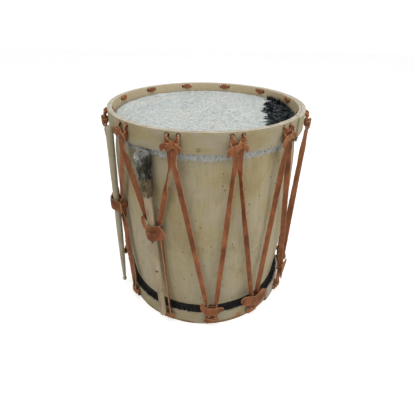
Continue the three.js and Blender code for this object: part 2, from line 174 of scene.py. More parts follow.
TOP_HOLE_Z = 0.4994
BOTTOM_HOLE_Z = 0.010
TIE_STEP = 30
TOP_TIES = [TIE_STEP * (index + 0.5) for index in range(12)]
BOTTOM_TIES = [5, 34, 65, 90, 120, 150, 180, 210, 240, 270, 304, 336.7]
TOP_TIE_Z = 0.4824
BOTTOM_TIE_Z = 0.027
TIE_HEIGHT = 0.013
STRAP_WIDTH = 0.012
STRAP_THICK = 0.003
EDGEWISE = 0.0094
FOLDED_WIDTH = 0.007
FOLDED_THICK = 0.0042
HOLE_SECTION = (0.0068, 0.0044)
STRAND_GAP = 0.0083
STITCH_R = 0.2063
INNER_BEND = 0.0032
SLIDER_SHARES = [0.126, 0.12, 0.178, 0.13, 0.115, 0.142, 0.118, 0.134, 0.122, 0.138, 0.588, 0.557]
STICK_SLIDER = 10
MALLET_SLIDER = 11


# Colours and node materials
def colour(red, green, blue):
    linear = []
    for value in (red, green, blue):
        share = value / 255
        linear.append(share / 12.92 if share <= 0.04045 else ((share + 0.055) / 1.055) ** 2.4)
    return (*linear, 1.0)


class Nodes:
    """The shader nodes of a material or of the world."""

    def __init__(self, tree):
        self.nodes = tree.nodes
        self.links = tree.links

    def feed(self, socket, value):
        if isinstance(value, bpy.types.NodeSocket):
            self.links.new(value, socket)
        else:
            socket.default_value = value

    def add(self, kind, inputs, output=0, operation=None):
        """Adds a node, feeds its inputs and gives one of its outputs."""
        node = self.nodes.new("ShaderNode" + kind)
        if operation:
            node.operation = operation
        for socket, value in inputs.items():
            self.feed(node.inputs[socket], value)
        return node.outputs[output]


class Finish(Nodes):
    def __init__(self, name, roughness, specular=0.3):
        self.material = bpy.data.materials.new(name)
        self.material.use_nodes = True
        super().__init__(self.material.node_tree)
        self.shader = self.nodes["Principled BSDF"]
        self.feed(self.shader.inputs["Roughness"], roughness)
        self.feed(self.shader.inputs["Specular IOR Level"], specular)
        self.place = self.nodes.new("ShaderNodeTexCoord").outputs["Object"]

    def mapped(self, stretch):
        """Places in the object, scaled along Z by one number or along each axis by three."""
        scale = stretch if isinstance(stretch, tuple) else (1, 1, stretch)
        return self.add("Mapping", {"Vector": self.place, "Scale": scale})

    def noise(self, scale, stretch=1, detail=4, rough=0.5, distortion=0):
        return self.add("TexNoise", {
            "Vector": self.mapped(stretch), "Scale": scale, "Detail": detail, "Roughness": rough,
            "Distortion": distortion,
        }, "Fac")

    def cells(self, scale, stretch=1):
        return self.add("TexVoronoi", {"Vector": self.mapped(stretch), "Scale": scale}, "Distance")

    def ramp(self, value, *stops):
        """A colour ramp; each stop is (position, red, green, blue)."""
        node = self.nodes.new("ShaderNodeValToRGB")
        points = node.color_ramp.elements
        while len(points) < len(stops):
            points.new(0.5)
        for point, (position, *tint) in zip(points, stops):
            point.position = position
            point.color = colour(*tint)
        self.feed(node.inputs["Fac"], value)
        return node.outputs["Color"]

    def share(self, value, low, high):
        """How far a value is on its way from low to high, between 0 and 1."""
        return self.add("MapRange", {"Value": value, "From Min": low, "From Max": high}, "Result")

    def maths(self, operation, first, second=0.0):
        return self.add("Math", {0: first, 1: second}, 0, operation)

    def times(self, first, second):
        return self.maths("MULTIPLY", first, second)

    def plus(self, first, second):
        return self.maths("ADD", first, second)

    def away(self, value, level):
        """How far a value is from a level, either way."""
        return self.maths("ABSOLUTE", self.maths("SUBTRACT", value, level))

    def blend(self, factor, first, second):
        node = self.nodes.new("ShaderNodeMix")
        node.data_type = "RGBA"
        for socket, value in zip((0, 6, 7), (factor, first, second)):
            self.feed(node.inputs[socket], value)
        return node.outputs[2]

    def over(self, base, cover, amount, tint):
        """The base with a tint over it, as strong as the cover times the amount."""
        return self.blend(self.times(cover, amount), base, colour(*tint))

    def worm_marks(self, base, marks, reach, patches, kept, amount, tint):
        """The base with small dark marks, only where a wide noise keeps them."""
        specks = self.share(self.cells(*marks), *reach)
        sparse = self.share(self.noise(patches, 1, 2), *kept)
        return self.over(base, specks, self.times(sparse, amount), tint)

    def attribute(self, name):
        node = self.nodes.new("ShaderNodeAttribute")
        node.attribute_name = name
        return node.outputs["Fac"]

    def height(self):
        return self.add("SeparateXYZ", {"Vector": self.place}, "Z")

    def radius(self):
        return self.add("VectorMath", {0: self.mapped(0)}, "Value", "LENGTH")

    def distance_to(self, centre):
        return self.add("VectorMath", {0: self.place, 1: centre}, "Value", "DISTANCE")

    def worn_spot(self, centre, low, high):
        """A ragged spot about a point, that fades out between two distances."""
        ragged = self.plus(self.distance_to(centre), self.times(self.noise(110, 2), 0.03))
        return self.share(ragged, high + 0.012, low + 0.012)

    def paint(self, value):
        self.feed(self.shader.inputs["Base Color"], value)

    def bump(self, value, strength, distance):
        normal = self.add("Bump", {"Strength": strength, "Distance": distance, "Height": value}, "Normal")
        self.feed(self.shader.inputs["Normal"], normal)


def shell_finish():
    f = Finish("shell_wood", 0.7, 0.15)
    patches = f.ramp(
        f.noise(11, 0.8, 4, 0.6),
        (0.36, 160, 143, 105), (0.45, 173, 159, 121), (0.53, 170, 160, 132), (0.64, 180, 165, 138),
    )
    # Paler and greyer towards the bottom: partly the wood's own tone, partly painted shade that keeps the
    # upper shell under the hoop darker
    low_paler_high_shaded = f.over(patches, f.share(f.height(), 0.34, 0.10), 0.4, (178, 169, 144))
    grain = f.noise(150, 0.06, 5, 0.6, 0.4)
    streaks = f.ramp(grain, (0.35, 142, 123, 86), (0.5, 168, 154, 120), (0.65, 188, 175, 143))
    figure = f.share(f.noise(30, 0.45, 3, 0.5, 2.2), 0.56, 0.62)
    figured = f.over(f.blend(0.14, low_paler_high_shaded, streaks), figure, 0.28, (150, 132, 94))
    stains = f.share(f.noise(17, 0.8, 5, 0.6), 0.58, 0.7)
    stained = f.over(figured, stains, 0.4, (140, 123, 84))
    f.paint(f.worm_marks(stained, (70, 0.8), (0.15, 0.09), 23, (0.44, 0.52), 0.75, (92, 68, 44)))
    f.bump(f.plus(f.times(grain, 0.4), f.noise(30, 0.5)), 0.35, 0.0015)
    return f.material


# Where the two plies of a hoop meet, and the ring that a nail left on the top hoop's front
PLY_R = HOOP_R - 0.0052
NAIL_SPOT = place(-3.1, HOOP_R, 0.4746)
NAIL_R = 0.0029


def hoop_finish():
    f = Finish("hoop_wood", 0.65, 0.15)
    patches = f.ramp(
        f.noise(14, 2, 4, 0.6),
        (0.36, 156, 140, 104), (0.47, 164, 152, 116), (0.54, 166, 153, 130), (0.64, 169, 160, 136),
    )
    grain = f.noise(34, 12, 5, 0.6, 0.3)
    streaks = f.ramp(grain, (0.34, 134, 118, 82), (0.5, 160, 149, 118), (0.66, 178, 167, 138))
    worn = f.share(f.noise(14, 3, 5, 0.6), 0.56, 0.7)
    stained = f.over(f.blend(0.18, patches, streaks), worn, 0.35, (146, 130, 98))
    speckled = f.worm_marks(stained, (58, 1.4), (0.10, 0.065), 21, (0.48, 0.54), 0.7, (92, 70, 48))
    # The hoop's inner wall is made paler: partly bare fresh wood, partly painted light that lifts the shade
    # inside the hoop
    inner = f.share(f.radius(), HOOP_R - 0.0085, HOOP_R - 0.0095)
    inner_wall_paled_and_lit = f.over(speckled, inner, 0.6, (214, 194, 160))
    seam = f.share(f.away(f.radius(), PLY_R), 0.0006, 0.0001)
    base = f.over(inner_wall_paled_and_lit, seam, 0.35, (118, 100, 72))
    for azimuth, radius, height, low, tint in (
        (24.5, HOOP_R, 0.011, 0.008, (158, 112, 72)), (57, HOOP_R + 0.003, 0.022, 0.009, (168, 168, 156)),
    ):
        base = f.blend(f.worn_spot(place(azimuth, radius, height), low, 0.022), base, colour(*tint))
    edge = f.times(f.share(f.height(), 0.013, 0.004), f.share(f.noise(26, 6), 0.47, 0.54))
    streaky = f.over(base, edge, 0.85, (118, 86, 50))
    ring = f.share(f.away(f.distance_to(NAIL_SPOT), NAIL_R), 0.0011, 0.0005)
    f.paint(f.over(streaky, ring, 0.75, (84, 64, 44)))
    f.bump(f.plus(f.times(grain, 0.6), f.noise(36, 2)), 0.3, 0.0012)
    return f.material


def rim_finish():
    f = Finish("hoop_rim", 0.6)
    grain = f.noise(60, 4, 4, 0.6)
    tint = f.ramp(grain, (0.35, 178, 166, 142), (0.5, 196, 187, 168), (0.65, 206, 199, 184))
    lapped = f.worn_spot(place(80, HOOP_R, 0.5), 0.09, 0.13)
    seam = f.share(f.away(f.radius(), PLY_R), 0.0010, 0.0003)
    f.paint(f.over(tint, seam, f.plus(0.35, f.times(lapped, 0.5)), (128, 108, 78)))
    f.bump(grain, 0.25, 0.001)
    return f.material


def hide_finish():
    f = Finish("pale_hide", 0.6)
    patches = f.ramp(
        f.noise(16, 1, 4, 0.55),
        (0.36, 202, 210, 208), (0.46, 212, 218, 216), (0.56, 212, 217, 212), (0.68, 217, 217, 213),
    )
    veins = f.share(f.noise(70, (0.8, 2.6, 1), 6, 0.62, 1.2), 0.54, 0.72)
    mottled = f.over(patches, veins, 0.4, (172, 176, 170))
    marks = f.share(f.noise(80, (0.5, 2.8, 1), 6, 0.66, 1.0), 0.62, 0.7)
    kept = f.share(f.noise(9, 1, 2), 0.5, 0.58)
    f.paint(f.over(mottled, f.times(marks, kept), 0.9, (134, 126, 112)))
    f.bump(f.plus(f.noise(70, (1, 2, 1), 6, 0.6, 0.8), f.noise(260, 1, 3)), 0.4, 0.0012)
    return f.material


def hair_finish(name, dark, middle, light):
    f = Finish(name, 0.75, 0.2)
    f.paint(f.ramp(f.attribute("shade"), (0, *dark), (0.5, *middle), (1, *light)))
    return f.material


def fibrous_finish(name, roughness, specular, fibre, relief, *stops):
    """A finish of one noise; relief is the bump's strength and distance."""
    f = Finish(name, roughness, specular)
    fibres = f.noise(*fibre)
    f.paint(f.ramp(fibres, *stops))
    f.bump(fibres, *relief)
    return f.material


def skin_finish(name, dark, light):
    return fibrous_finish(name, 0.85, 0.2, (240, 0.5, 4, 0.6), (0.6, 0.002), (0.35, *dark), (0.65, *light))


def leather_finish():
    f = Finish("lace_leather", 0.6, 0.22)
    tone = f.ramp(f.noise(42, 0.5, 4, 0.55), (0.34, 104, 59, 34), (0.5, 134, 79, 46), (0.66, 156, 98, 60))
    # Darker brown marks over the leather's tone, by a stretched noise of their own
    dark_marks = f.share(f.noise(210, 0.35, 5, 0.6, 0.6), 0.58, 0.75)
    f.paint(f.over(tone, dark_marks, 0.45, (88, 49, 30)))
    f.bump(f.plus(f.times(f.cells(900), 0.5), f.noise(260, 0.4, 5)), 0.35, 0.0008)
    return f.material


def pale_wood_finish():
    f = Finish("pale_wood", 0.55)
    tone = f.ramp(f.noise(24, 0.4, 3), (0.36, 158, 146, 116), (0.5, 172, 162, 136), (0.64, 182, 172, 150))
    grain = f.noise(260, 0.045, 5, 0.6, 0.3)
    streaks = f.ramp(grain, (0.35, 132, 114, 82), (0.5, 168, 157, 130), (0.65, 190, 180, 156))
    streaked = f.blend(0.4, tone, streaks)
    f.paint(f.worm_marks(streaked, (85, 0.6), (0.14, 0.09), 37, (0.5, 0.56), 0.7, (104, 80, 54)))
    f.bump(grain, 0.35, 0.001)
    return f.material


def branch_finish():
    f = Finish("branch_wood", 0.6)
    tone = f.ramp(f.noise(26, 0.5), (0.36, 142, 122, 90), (0.5, 162, 144, 114), (0.64, 176, 160, 132))
    grain = f.noise(240, 0.05, 5, 0.65, 0.5)
    streaks = f.ramp(grain, (0.35, 116, 94, 64), (0.5, 158, 140, 110), (0.65, 182, 166, 138))
    bark = f.share(f.noise(60, 0.35, 5, 0.6), 0.6, 0.72)
    barked = f.over(f.blend(0.45, tone, streaks), bark, 0.55, (92, 68, 44))
    for knot in (place(-27, 0.2415, 0.262), place(-25.8, 0.2450, 0.183)):
        barked = f.blend(f.worn_spot(knot, 0.002, 0.006), barked, colour(48, 34, 24))
    f.paint(barked)
    f.bump(grain, 0.45, 0.0015)
    return f.material


FINISHES = {
    "shell_wood": shell_finish(),
    "hoop_wood": hoop_finish(),
    "hoop_rim": rim_finish(),
    "pale_hide": hide_finish(),
    "white_skin": skin_finish("white_skin", (128, 122, 108), (172, 172, 165)),
    "white_hair": hair_finish("white_hair", (132, 126, 112), (176, 177, 170), (216, 218, 214)),
    "black_skin": skin_finish("black_skin", (22, 21, 19), (38, 37, 35)),
    "black_hair": hair_finish("black_hair", (20, 19, 17), (38, 38, 36), (74, 74, 72)),
    # The light end of this ramp is the painted sheen on the dark hair
    "patch_hair": hair_finish("patch_hair", (20, 24, 27), (46, 53, 56), (128, 136, 140)),
    "fur_hair": hair_finish("fur_hair", (48, 46, 36), (100, 97, 80), (206, 208, 202)),
    "leather": leather_finish(),
    "leather_edge": fibrous_finish(
        "leather_edge", 0.75, 0.2, (420, 0.4, 4, 0.6), (0.4, 0.0006),
        (0.3, 132, 90, 60), (0.5, 164, 120, 86), (0.7, 190, 150, 114),
    ),
    "pale_wood": pale_wood_finish(),
    "branch_wood": branch_finish(),
    "binding": fibrous_finish(
        "mallet_binding", 0.9, 0.15, (190, 0.4, 5, 0.65, 0.8), (0.8, 0.003),
        (0.32, 58, 48, 34), (0.5, 98, 85, 63), (0.68, 138, 124, 98),
    ),
}


# Meshes
def make_piece(name, vertices, faces, finishes, picks=None, shades=None):
    mesh = bpy.data.meshes.new(name)
    mesh.from_pydata([tuple(vertex) for vertex in vertices], [], faces)
    for finish in finishes:
        mesh.materials.append(FINISHES[finish])
    if picks:
        mesh.polygons.foreach_set("material_index", picks)
    mesh.polygons.foreach_set("use_smooth", [True] * len(mesh.polygons))
    if shades:
        attribute = mesh.attributes.new("shade", "FLOAT", "POINT")
        attribute.data.foreach_set("value", shades)
    mesh.update()
    return add_object(name, mesh)


class Builder:
    """Gathers several closed forms into one mesh."""

    def __init__(self):
        self.vertices = []
        self.faces = []
        self.picks = []

    def add(self, vertices, faces, picks):
        start = len(self.vertices)
        self.vertices.extend(vertices)
        self.faces.extend([tuple(start + corner for corner in face) for face in faces])
        self.picks.extend(picks)

    def finish(self, name, finishes):
        return make_piece(name, self.vertices, self.faces, finishes, self.picks)


def lathe(profile, turns, shift):
    """Turns a closed profile of (radius, height) about +Z; shift moves a point by azimuth and index."""
    vertices, faces = [], []
    count = len(profile)
    for azimuth in turns:
        for index, (radius, height) in enumerate(profile):
            vertices.append(shift(place(azimuth, radius, height), azimuth, index))
    for turn in range(len(turns)):
        here, there = turn * count, ((turn + 1) % len(turns)) * count
        for index in range(count):
            after = (index + 1) % count
            faces.append((here + index, there + index, there + after, here + after))
    return vertices, faces


def even_turns(count):
    return [360 * index / count for index in range(count)]


def split_sharp(piece, angle):
    piece.data.set_sharp_from_angle(angle=math.radians(angle))


def dress(piece, body, node=None):
    """Hangs a piece on its body and in place of its node, if it has one."""
    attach(piece, body)
    if node:
        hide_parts(node)


class Station:
    def __init__(self, centre, flat, width, thick):
        self.centre = centre
        self.flat = flat
        self.width = width
        self.thick = thick


def way_at(stations, index, closed):
    """The direction of a run of stations at one of them."""
    if closed:
        before, after = stations[index - 1], stations[(index + 1) % len(stations)]
    else:
        before, after = stations[max(0, index - 1)], stations[min(len(stations) - 1, index + 1)]
    return (after.centre - before.centre).normalized()


def refined(stations, step, closed=False):
    """Fills in a smooth run of stations, each about one step from the next."""
    count = len(stations)
    result = []
    for index in range(count if closed else count - 1):
        after = (index + 1) % count
        first, second = stations[index], stations[after]
        length = (second.centre - first.centre).length
        steps = max(1, round(length / step))
        start_pull = way_at(stations, index, closed) * length
        end_pull = way_at(stations, after, closed) * length
        for part in range(steps):
            t = part / steps
            centre = (
                first.centre * (2 * t**3 - 3 * t**2 + 1) + start_pull * (t**3 - 2 * t**2 + t)
                + second.centre * (3 * t**2 - 2 * t**3) + end_pull * (t**3 - t**2)
            )
            result.append(Station(
                centre, first.flat.lerp(second.flat, t), mix(first.width, second.width, t),
                mix(first.thick, second.thick, t),
            ))
    if not closed:
        result.append(stations[-1])
    return result


# Which finish the faces between a strap's corners take: 1 where they belong to its cut edges
SECTION_PICKS = [1, 1, 0, 0, 1, 1, 1, 0, 0, 1]


def strap_mesh(stations, closed=False, wobble=0.0, seed=0.0):
    """Sweeps a rounded strap section along stations; its cut edges take the second finish."""
    vertices, faces, picks = [], [], []
    count = len(stations)
    for index, station in enumerate(stations):
        along = way_at(stations, index, closed)
        across = (station.flat - along * station.flat.dot(along)).normalized()
        through = along.cross(across)
        half, deep = station.width / 2, station.thick / 2
        corner = min(0.3 * station.thick, 0.4 * station.width)
        section = [
            (half, -deep + corner), (half, deep - corner), (half - corner, deep), (0, deep * 1.04),
            (-half + corner, deep), (-half, deep - corner), (-half, -deep + corner), (-half + corner, -deep),
            (0, -deep * 1.04), (half - corner, -deep),
        ]
        stir = Vector((0, 0, 0))
        if wobble:
            stir = noise_three(station.centre * 90 + Vector((seed, seed, seed))) * wobble
        for wide, thick in section:
            vertices.append(station.centre + across * wide + through * thick + stir)
    size = len(SECTION_PICKS)
    for ring in range(count if closed else count - 1):
        here, there = ring * size, ((ring + 1) % count) * size
        for corner in range(size):
            after = (corner + 1) % size
            faces.append((here + corner, here + after, there + after, there + corner))
            picks.append(SECTION_PICKS[corner])
    if not closed:
        faces.append(tuple(reversed(range(size))))
        faces.append(tuple(range((count - 1) * size, count * size)))
        picks.extend([1, 1])
    return vertices, faces, picks


def hair_mesh(name, strands, finish, lies_flat=False):
    """Each strand is (root, direction, length, width, bend, shade): a narrow blade with a bent tip."""
    vertices, faces, shades = [], [], []
    for root, direction, length, width, bend, shade in strands:
        direction = direction.normalized()
        side = direction.cross(UP if lies_flat else Vector((root.x, root.y, 0)) + Vector((1e-6, 0, 0)))
        side = side.normalized() * width / 2
        middle = root + direction * length * 0.5 + bend * 0.3
        tip = root + direction * length + bend
        start = len(vertices)
        vertices.extend([root - side, root + side, middle + side * 0.8, middle - side * 0.8, tip])
        faces.extend([(start, start + 1, start + 2, start + 3), (start + 3, start + 2, start + 4)])
        root_shade = shade * (0.86 if lies_flat else 0.7)
        shades.extend([root_shade, root_shade, shade, shade, min(1.0, shade * 1.15)])
    return make_piece(name, vertices, faces, [finish], shades=shades)


# Shell
def make_shell():
    rows = 46
    inner = SHELL_R - SHELL_WALL
    covered_height = UPPER_SKIRT_END - LOWER_SKIRT_END
    profile = [(inner, SHELL_LOW)]
    for row in range(rows + 1):
        height = mix(SHELL_LOW, SHELL_HIGH, row / rows)
        rise = (height - LOWER_SKIRT_END) / covered_height
        swell = profile_at(SHELL_SWELL_SHARES, rise) if 0 < rise < 1 else 0.0
        profile.append((SHELL_R + SHELL_SWELL * swell, height))
    profile.append((inner, SHELL_HIGH))

    def uneven(point, azimuth, index):
        if 0 < index <= rows + 1:
            turn = abs((azimuth + 180) % 360 - 180)
            fullness = smooth((turn - 60) / 12) * (1 - smooth((turn - 96) / 16))
            rise = (point.z - LOWER_SKIRT_END) / covered_height
            if 0 < rise < 1:
                point += outward(azimuth) * SIDE_SWELL * fullness * profile_at(SIDE_SWELL_SHARES, rise)
            bare = min(point.z - LOWER_SKIRT_END, UPPER_SKIRT_END - point.z)
            swell = noise_at(point.x * 9, point.y * 9, point.z * 5)
            ripple = noise_at(point.x * 38, point.y * 38, point.z * 9)
            point += outward(azimuth) * (0.0011 * smooth(bare / 0.03)) * (swell * 0.9 + ripple * 0.35)
        return point

    vertices, faces = lathe(profile, even_turns(240), uneven)
    piece = make_piece("shell_visual", vertices, faces, ["shell_wood"])
    split_sharp(piece, 50)
    dress(piece, "root", "shell")


# Hides: the radius of their fold, how uneven their cut edge is, and the small opening that a lathe leaves
HIDE_FOLD = 0.004
HIDE_FRAY = 0.0016
MIDDLE_R = 0.0005


def make_hide(node, level, outer_way, skirt_end, finishes):
    """outer_way is +1 where the flat face looks up and -1 where it looks down."""
    rings = 44
    side_rows = 8
    inner = SKIRT_R - HIDE
    flat_r = SKIRT_R - HIDE_FOLD
    profile = [(mix(MIDDLE_R, flat_r, ring / rings), level) for ring in range(rings + 1)]
    for turn in (30, 60, 90):
        bend = math.radians(turn)
        fall = outer_way * HIDE_FOLD * (1 - math.cos(bend))
        profile.append((flat_r + HIDE_FOLD * math.sin(bend), level - fall))
    flat_count = len(profile)
    for row in range(1, side_rows + 1):
        profile.append((SKIRT_R, mix(level - outer_way * HIDE_FOLD, skirt_end, row / side_rows)))
    outer_count = len(profile)
    under = level - outer_way * HIDE
    profile.extend([(inner, skirt_end), (inner, under), (MIDDLE_R, under)])

    def uneven(point, azimuth, index):
        if index <= rings:
            edge = smooth((math.hypot(point.x, point.y) - 0.17) / 0.035)
            low = flat_noise(point, 24, 3.1)
            fine = flat_noise(point, 95, 7.7)
            roll = edge * (0.0010 * low + 0.0007 * fine + 0.0006)
            point.z += outer_way * (0.0006 * low + 0.00022 * fine + roll)
        elif index in (outer_count - 1, outer_count):
            fray, wave = flat_noise(point, 120, 1.3), flat_noise(point, 26, 8.3)
            point.z += outer_way * (HIDE_FRAY * fray + HIDE_FRAY * wave)
        return point

    vertices, faces = lathe(profile, even_turns(220), uneven)
    picks = [1 if flat_count <= min(face) % len(profile) < outer_count else 0 for face in faces]
    if outer_way > 0:
        for number, face in enumerate(faces):
            spot = sum((vertices[corner] for corner in face), Vector()) / len(face)
            if spot.z > level - 0.001 and in_dark_patch(spot.x - 0.002, spot.y):
                picks[number] = 2
    piece = make_piece(f"{node}_visual", vertices, faces, finishes, picks)
    split_sharp(piece, 60)
    dress(piece, "root", node)


# Hair
def fringe_strands(rng, count, heights, length, lean, tangle, width, shade, azimuths=(0, 360)):
    """Hair that hangs from a hide's skirt; ranges are (low, high) and shade is (mean, spread)."""
    strands = []
    for _ in range(count):
        azimuth = rng.uniform(*azimuths)
        root = place(azimuth, SKIRT_R + 0.0001, rng.uniform(*heights))
        out = outward(azimuth) * rng.uniform(*lean)
        sweep = sideways(azimuth) * rng.gauss(0, tangle)
        reach = rng.uniform(*length) * (0.78 + 1.1 * flat_noise(root, 95, 4.4))
        sweep += sideways(azimuth) * 1.1 * flat_noise(root, 70, 6.2)
        curl = sideways(azimuth) * rng.gauss(0, 0.0016)
        bend = curl - outward(azimuth) * 0.3 * reach * min(0.7, lean[1])
        tone = clamped(rng.gauss(*shade))
        strands.append((root, out + sweep - UP, reach, rng.uniform(*width), bend, tone))
    return strands


# The dark corner of the upper hide: its rim, and its border at x, which leans away before and behind
PATCH_RIM_R = 0.2068
PATCH_BORDER = 0.141


def in_dark_patch(x, y):
    """The dark corner of the upper hide, on the drum's right."""
    if math.hypot(x, y) > PATCH_RIM_R:
        return False
    ragged = 0.006 * noise_at(x * 42, y * 42, 5.0) + 0.012 * noise_at(x * 130, y * 130, 9.0)
    border = PATCH_BORDER + 0.27 * max(0.0, y - 0.01) - 0.16 * max(0.0, -0.03 - y)
    return x > border + ragged


def hair_piece(name, strands, finish, lies_flat=False):
    dress(hair_mesh(name, strands, finish, lies_flat), "root")


def make_upper_fringe(rng):
    white = fringe_strands(
        rng, 9500, heights=(0.4525, 0.4665), length=(0.004, 0.0082), lean=(0.08, 0.42), tangle=0.35,
        width=(0.0006, 0.0013), shade=(0.76, 0.24),
    )
    dark_side, pale_side = [], []
    for strand in white:
        azimuth = math.degrees(math.atan2(strand[0].x, -strand[0].y)) + rng.gauss(0, 2.5)
        is_dark = 52 < azimuth < 100 or -150 < azimuth < -118
        (dark_side if is_dark else pale_side).append(strand)
    hair_piece("upper_fringe", pale_side, "white_hair")
    tuft = fringe_strands(
        rng, 3600, heights=(0.45, 0.4655), length=(0.01, 0.016), lean=(0.5, 2.2), tangle=0.4,
        width=(0.0007, 0.0013), shade=(0.4, 0.2), azimuths=(64, 102),
    )
    hair_piece("upper_dark_fringe", dark_side + tuft, "black_hair")


def make_lower_fringe(rng):
    """Hair that hangs, and above it a dense row that stands out over the hoop's rim."""
    lower = fringe_strands(
        rng, 9000, heights=(0.0425, 0.0562), length=(0.005, 0.01), lean=(0.15, 0.7), tangle=0.4,
        width=(0.0008, 0.0014), shade=(0.38, 0.2),
    )
    for _ in range(10500):
        azimuth = rng.uniform(0, 360)
        height = rng.uniform(0.0420, 0.0475)
        root = place(azimuth, SKIRT_R + 0.0002, height)
        reach = rng.uniform(0.0085, 0.0135) * (1 + 0.16 * flat_noise(root, 60, 2.4))
        fall = (0.0424 - height) / reach + rng.uniform(-0.02, 0.10)
        way = outward(azimuth) + UP * fall + sideways(azimuth) * rng.gauss(0, 0.35)
        bend = UP * -rng.uniform(0.0, 0.0034) * smooth((reach - 0.0100) / 0.003)
        tone = clamped(rng.gauss(0.36, 0.2))
        lower.append((root, way, reach, rng.uniform(0.0009, 0.0015), bend, tone))
    hair_piece("lower_fringe", lower, "black_hair")


def make_patch_hair(rng):
    """Tangled hair on the dark corner, upright where it leans on the hoop at the back."""
    patch = []
    while len(patch) < 9500:
        x, y = rng.uniform(0.11, 0.2065), rng.uniform(-0.165, 0.175)
        if not in_dark_patch(x, y):
            continue
        clump = noise_three(Vector((x * 60, y * 60, 2.0)))
        # Painted sheen: a noise lightens patches of the dark hair where highlights would fall
        painted_sheen = noise_at(x * 210, y * 210, 3.0) + 0.6 * noise_at(x * 90, y * 90, 1.0)
        across = -0.8 + clump.x * 1.6 + rng.gauss(0, 0.2)
        way = Vector((across, -0.25 + clump.y * 1.6 + rng.gauss(0, 0.2), 0))
        near_wall = smooth((math.hypot(x, y) - 0.196) / 0.01)
        upright = near_wall * smooth(y / 0.08)
        rise = UP * (rng.uniform(0.12, 0.5) + 2.2 * upright)
        reach = rng.uniform(0.004, 0.010) * (1 + 0.8 * upright)
        way -= Vector((x, y, 0)).normalized() * near_wall
        tone = clamped(0.40 + painted_sheen * 0.85 + rng.gauss(0, 0.12))
        root = Vector((x, y, TOP_HIDE_LEVEL + 0.0003))
        patch.append((root, way.normalized() + rise, reach, 0.0013, UP * -0.0014, tone))
    hair_piece("head_dark_patch", patch, "patch_hair")


def make_pale_hair(rng):
    """Short hair that lies on the upper hide, and hair that stands round its edge."""
    flat = []
    while len(flat) < 6500:
        x, y = rng.uniform(-0.2, 0.2), rng.uniform(-0.2, 0.2)
        if math.hypot(x, y) > 0.2 or in_dark_patch(x + 0.004, y):
            continue
        flow = noise_three(Vector((x * 14, y * 14, 5.5)))
        across = 0.9 + flow.x * 1.4 + rng.gauss(0, 0.25)
        way = Vector((across, flow.y * 1.6 + rng.gauss(0, 0.25), 0)).normalized()
        rise = UP * rng.uniform(0.02, 0.16)
        tone = clamped(rng.gauss(0.95 + 0.16 * flow.z, 0.07))
        root = Vector((x, y, TOP_HIDE_LEVEL + 0.0006))
        flat.append((root, way + rise, rng.uniform(0.004, 0.008), 0.0010, UP * -0.0004, tone))
    hair_piece("head_pale_hair", flat, "white_hair", lies_flat=True)
    edge = []
    for _ in range(3400):
        azimuth = rng.uniform(0, 360)
        root = place(azimuth, 0.2075 - abs(rng.gauss(0, 0.003)), TOP_HIDE_LEVEL + 0.0002)
        way = sideways(azimuth) * rng.gauss(0, 0.8) - outward(azimuth) * rng.uniform(0.1, 0.8)
        rise = UP * rng.uniform(0.1, 0.7)
        tone = clamped(rng.gauss(0.75, 0.18))
        edge.append((root, way + rise, rng.uniform(0.002, 0.0055), 0.0010, UP * -0.0008, tone))
    hair_piece("head_pale_edge", edge, "white_hair")


def make_hair():
    rng = random.Random(11)
    make_upper_fringe(rng)
    make_lower_fringe(rng)
    make_patch_hair(rng)
    make_pale_hair(rng)


# Hoops
def lap_at(azimuth, lap_start):
    """How far the lapped end lifts the hoop's face at an azimuth."""
    along = (azimuth - lap_start) % 360
    return 0.0 if along > LAP_SPAN else LAP_WALL * min(1.0, (LAP_SPAN - along) / LAP_TAPER)


def seat_radius(azimuth, lap_start):
    half = arc_degrees(0.0134, HOOP_R)
    return HOOP_R + max(lap_at(azimuth + turn, lap_start) for turn in (-half, 0, half))


def hole_turn():
    return arc_degrees(HOLE_SPACING / 2, HOOP_R)


def corner_points(x, z, out, up, turns):
    """Points round a section's corner; out and up are its radius, signed by the way it faces."""
    bends = [math.radians(turn) for turn in turns]
    return [(x + out * math.sin(bend), z + up * math.cos(bend)) for bend in bends]


# A hoop's rounded edges, and the length of the cutters for its holes
HOOP_EDGE_R = 0.0016
CUTTER_DEPTH = 0.03


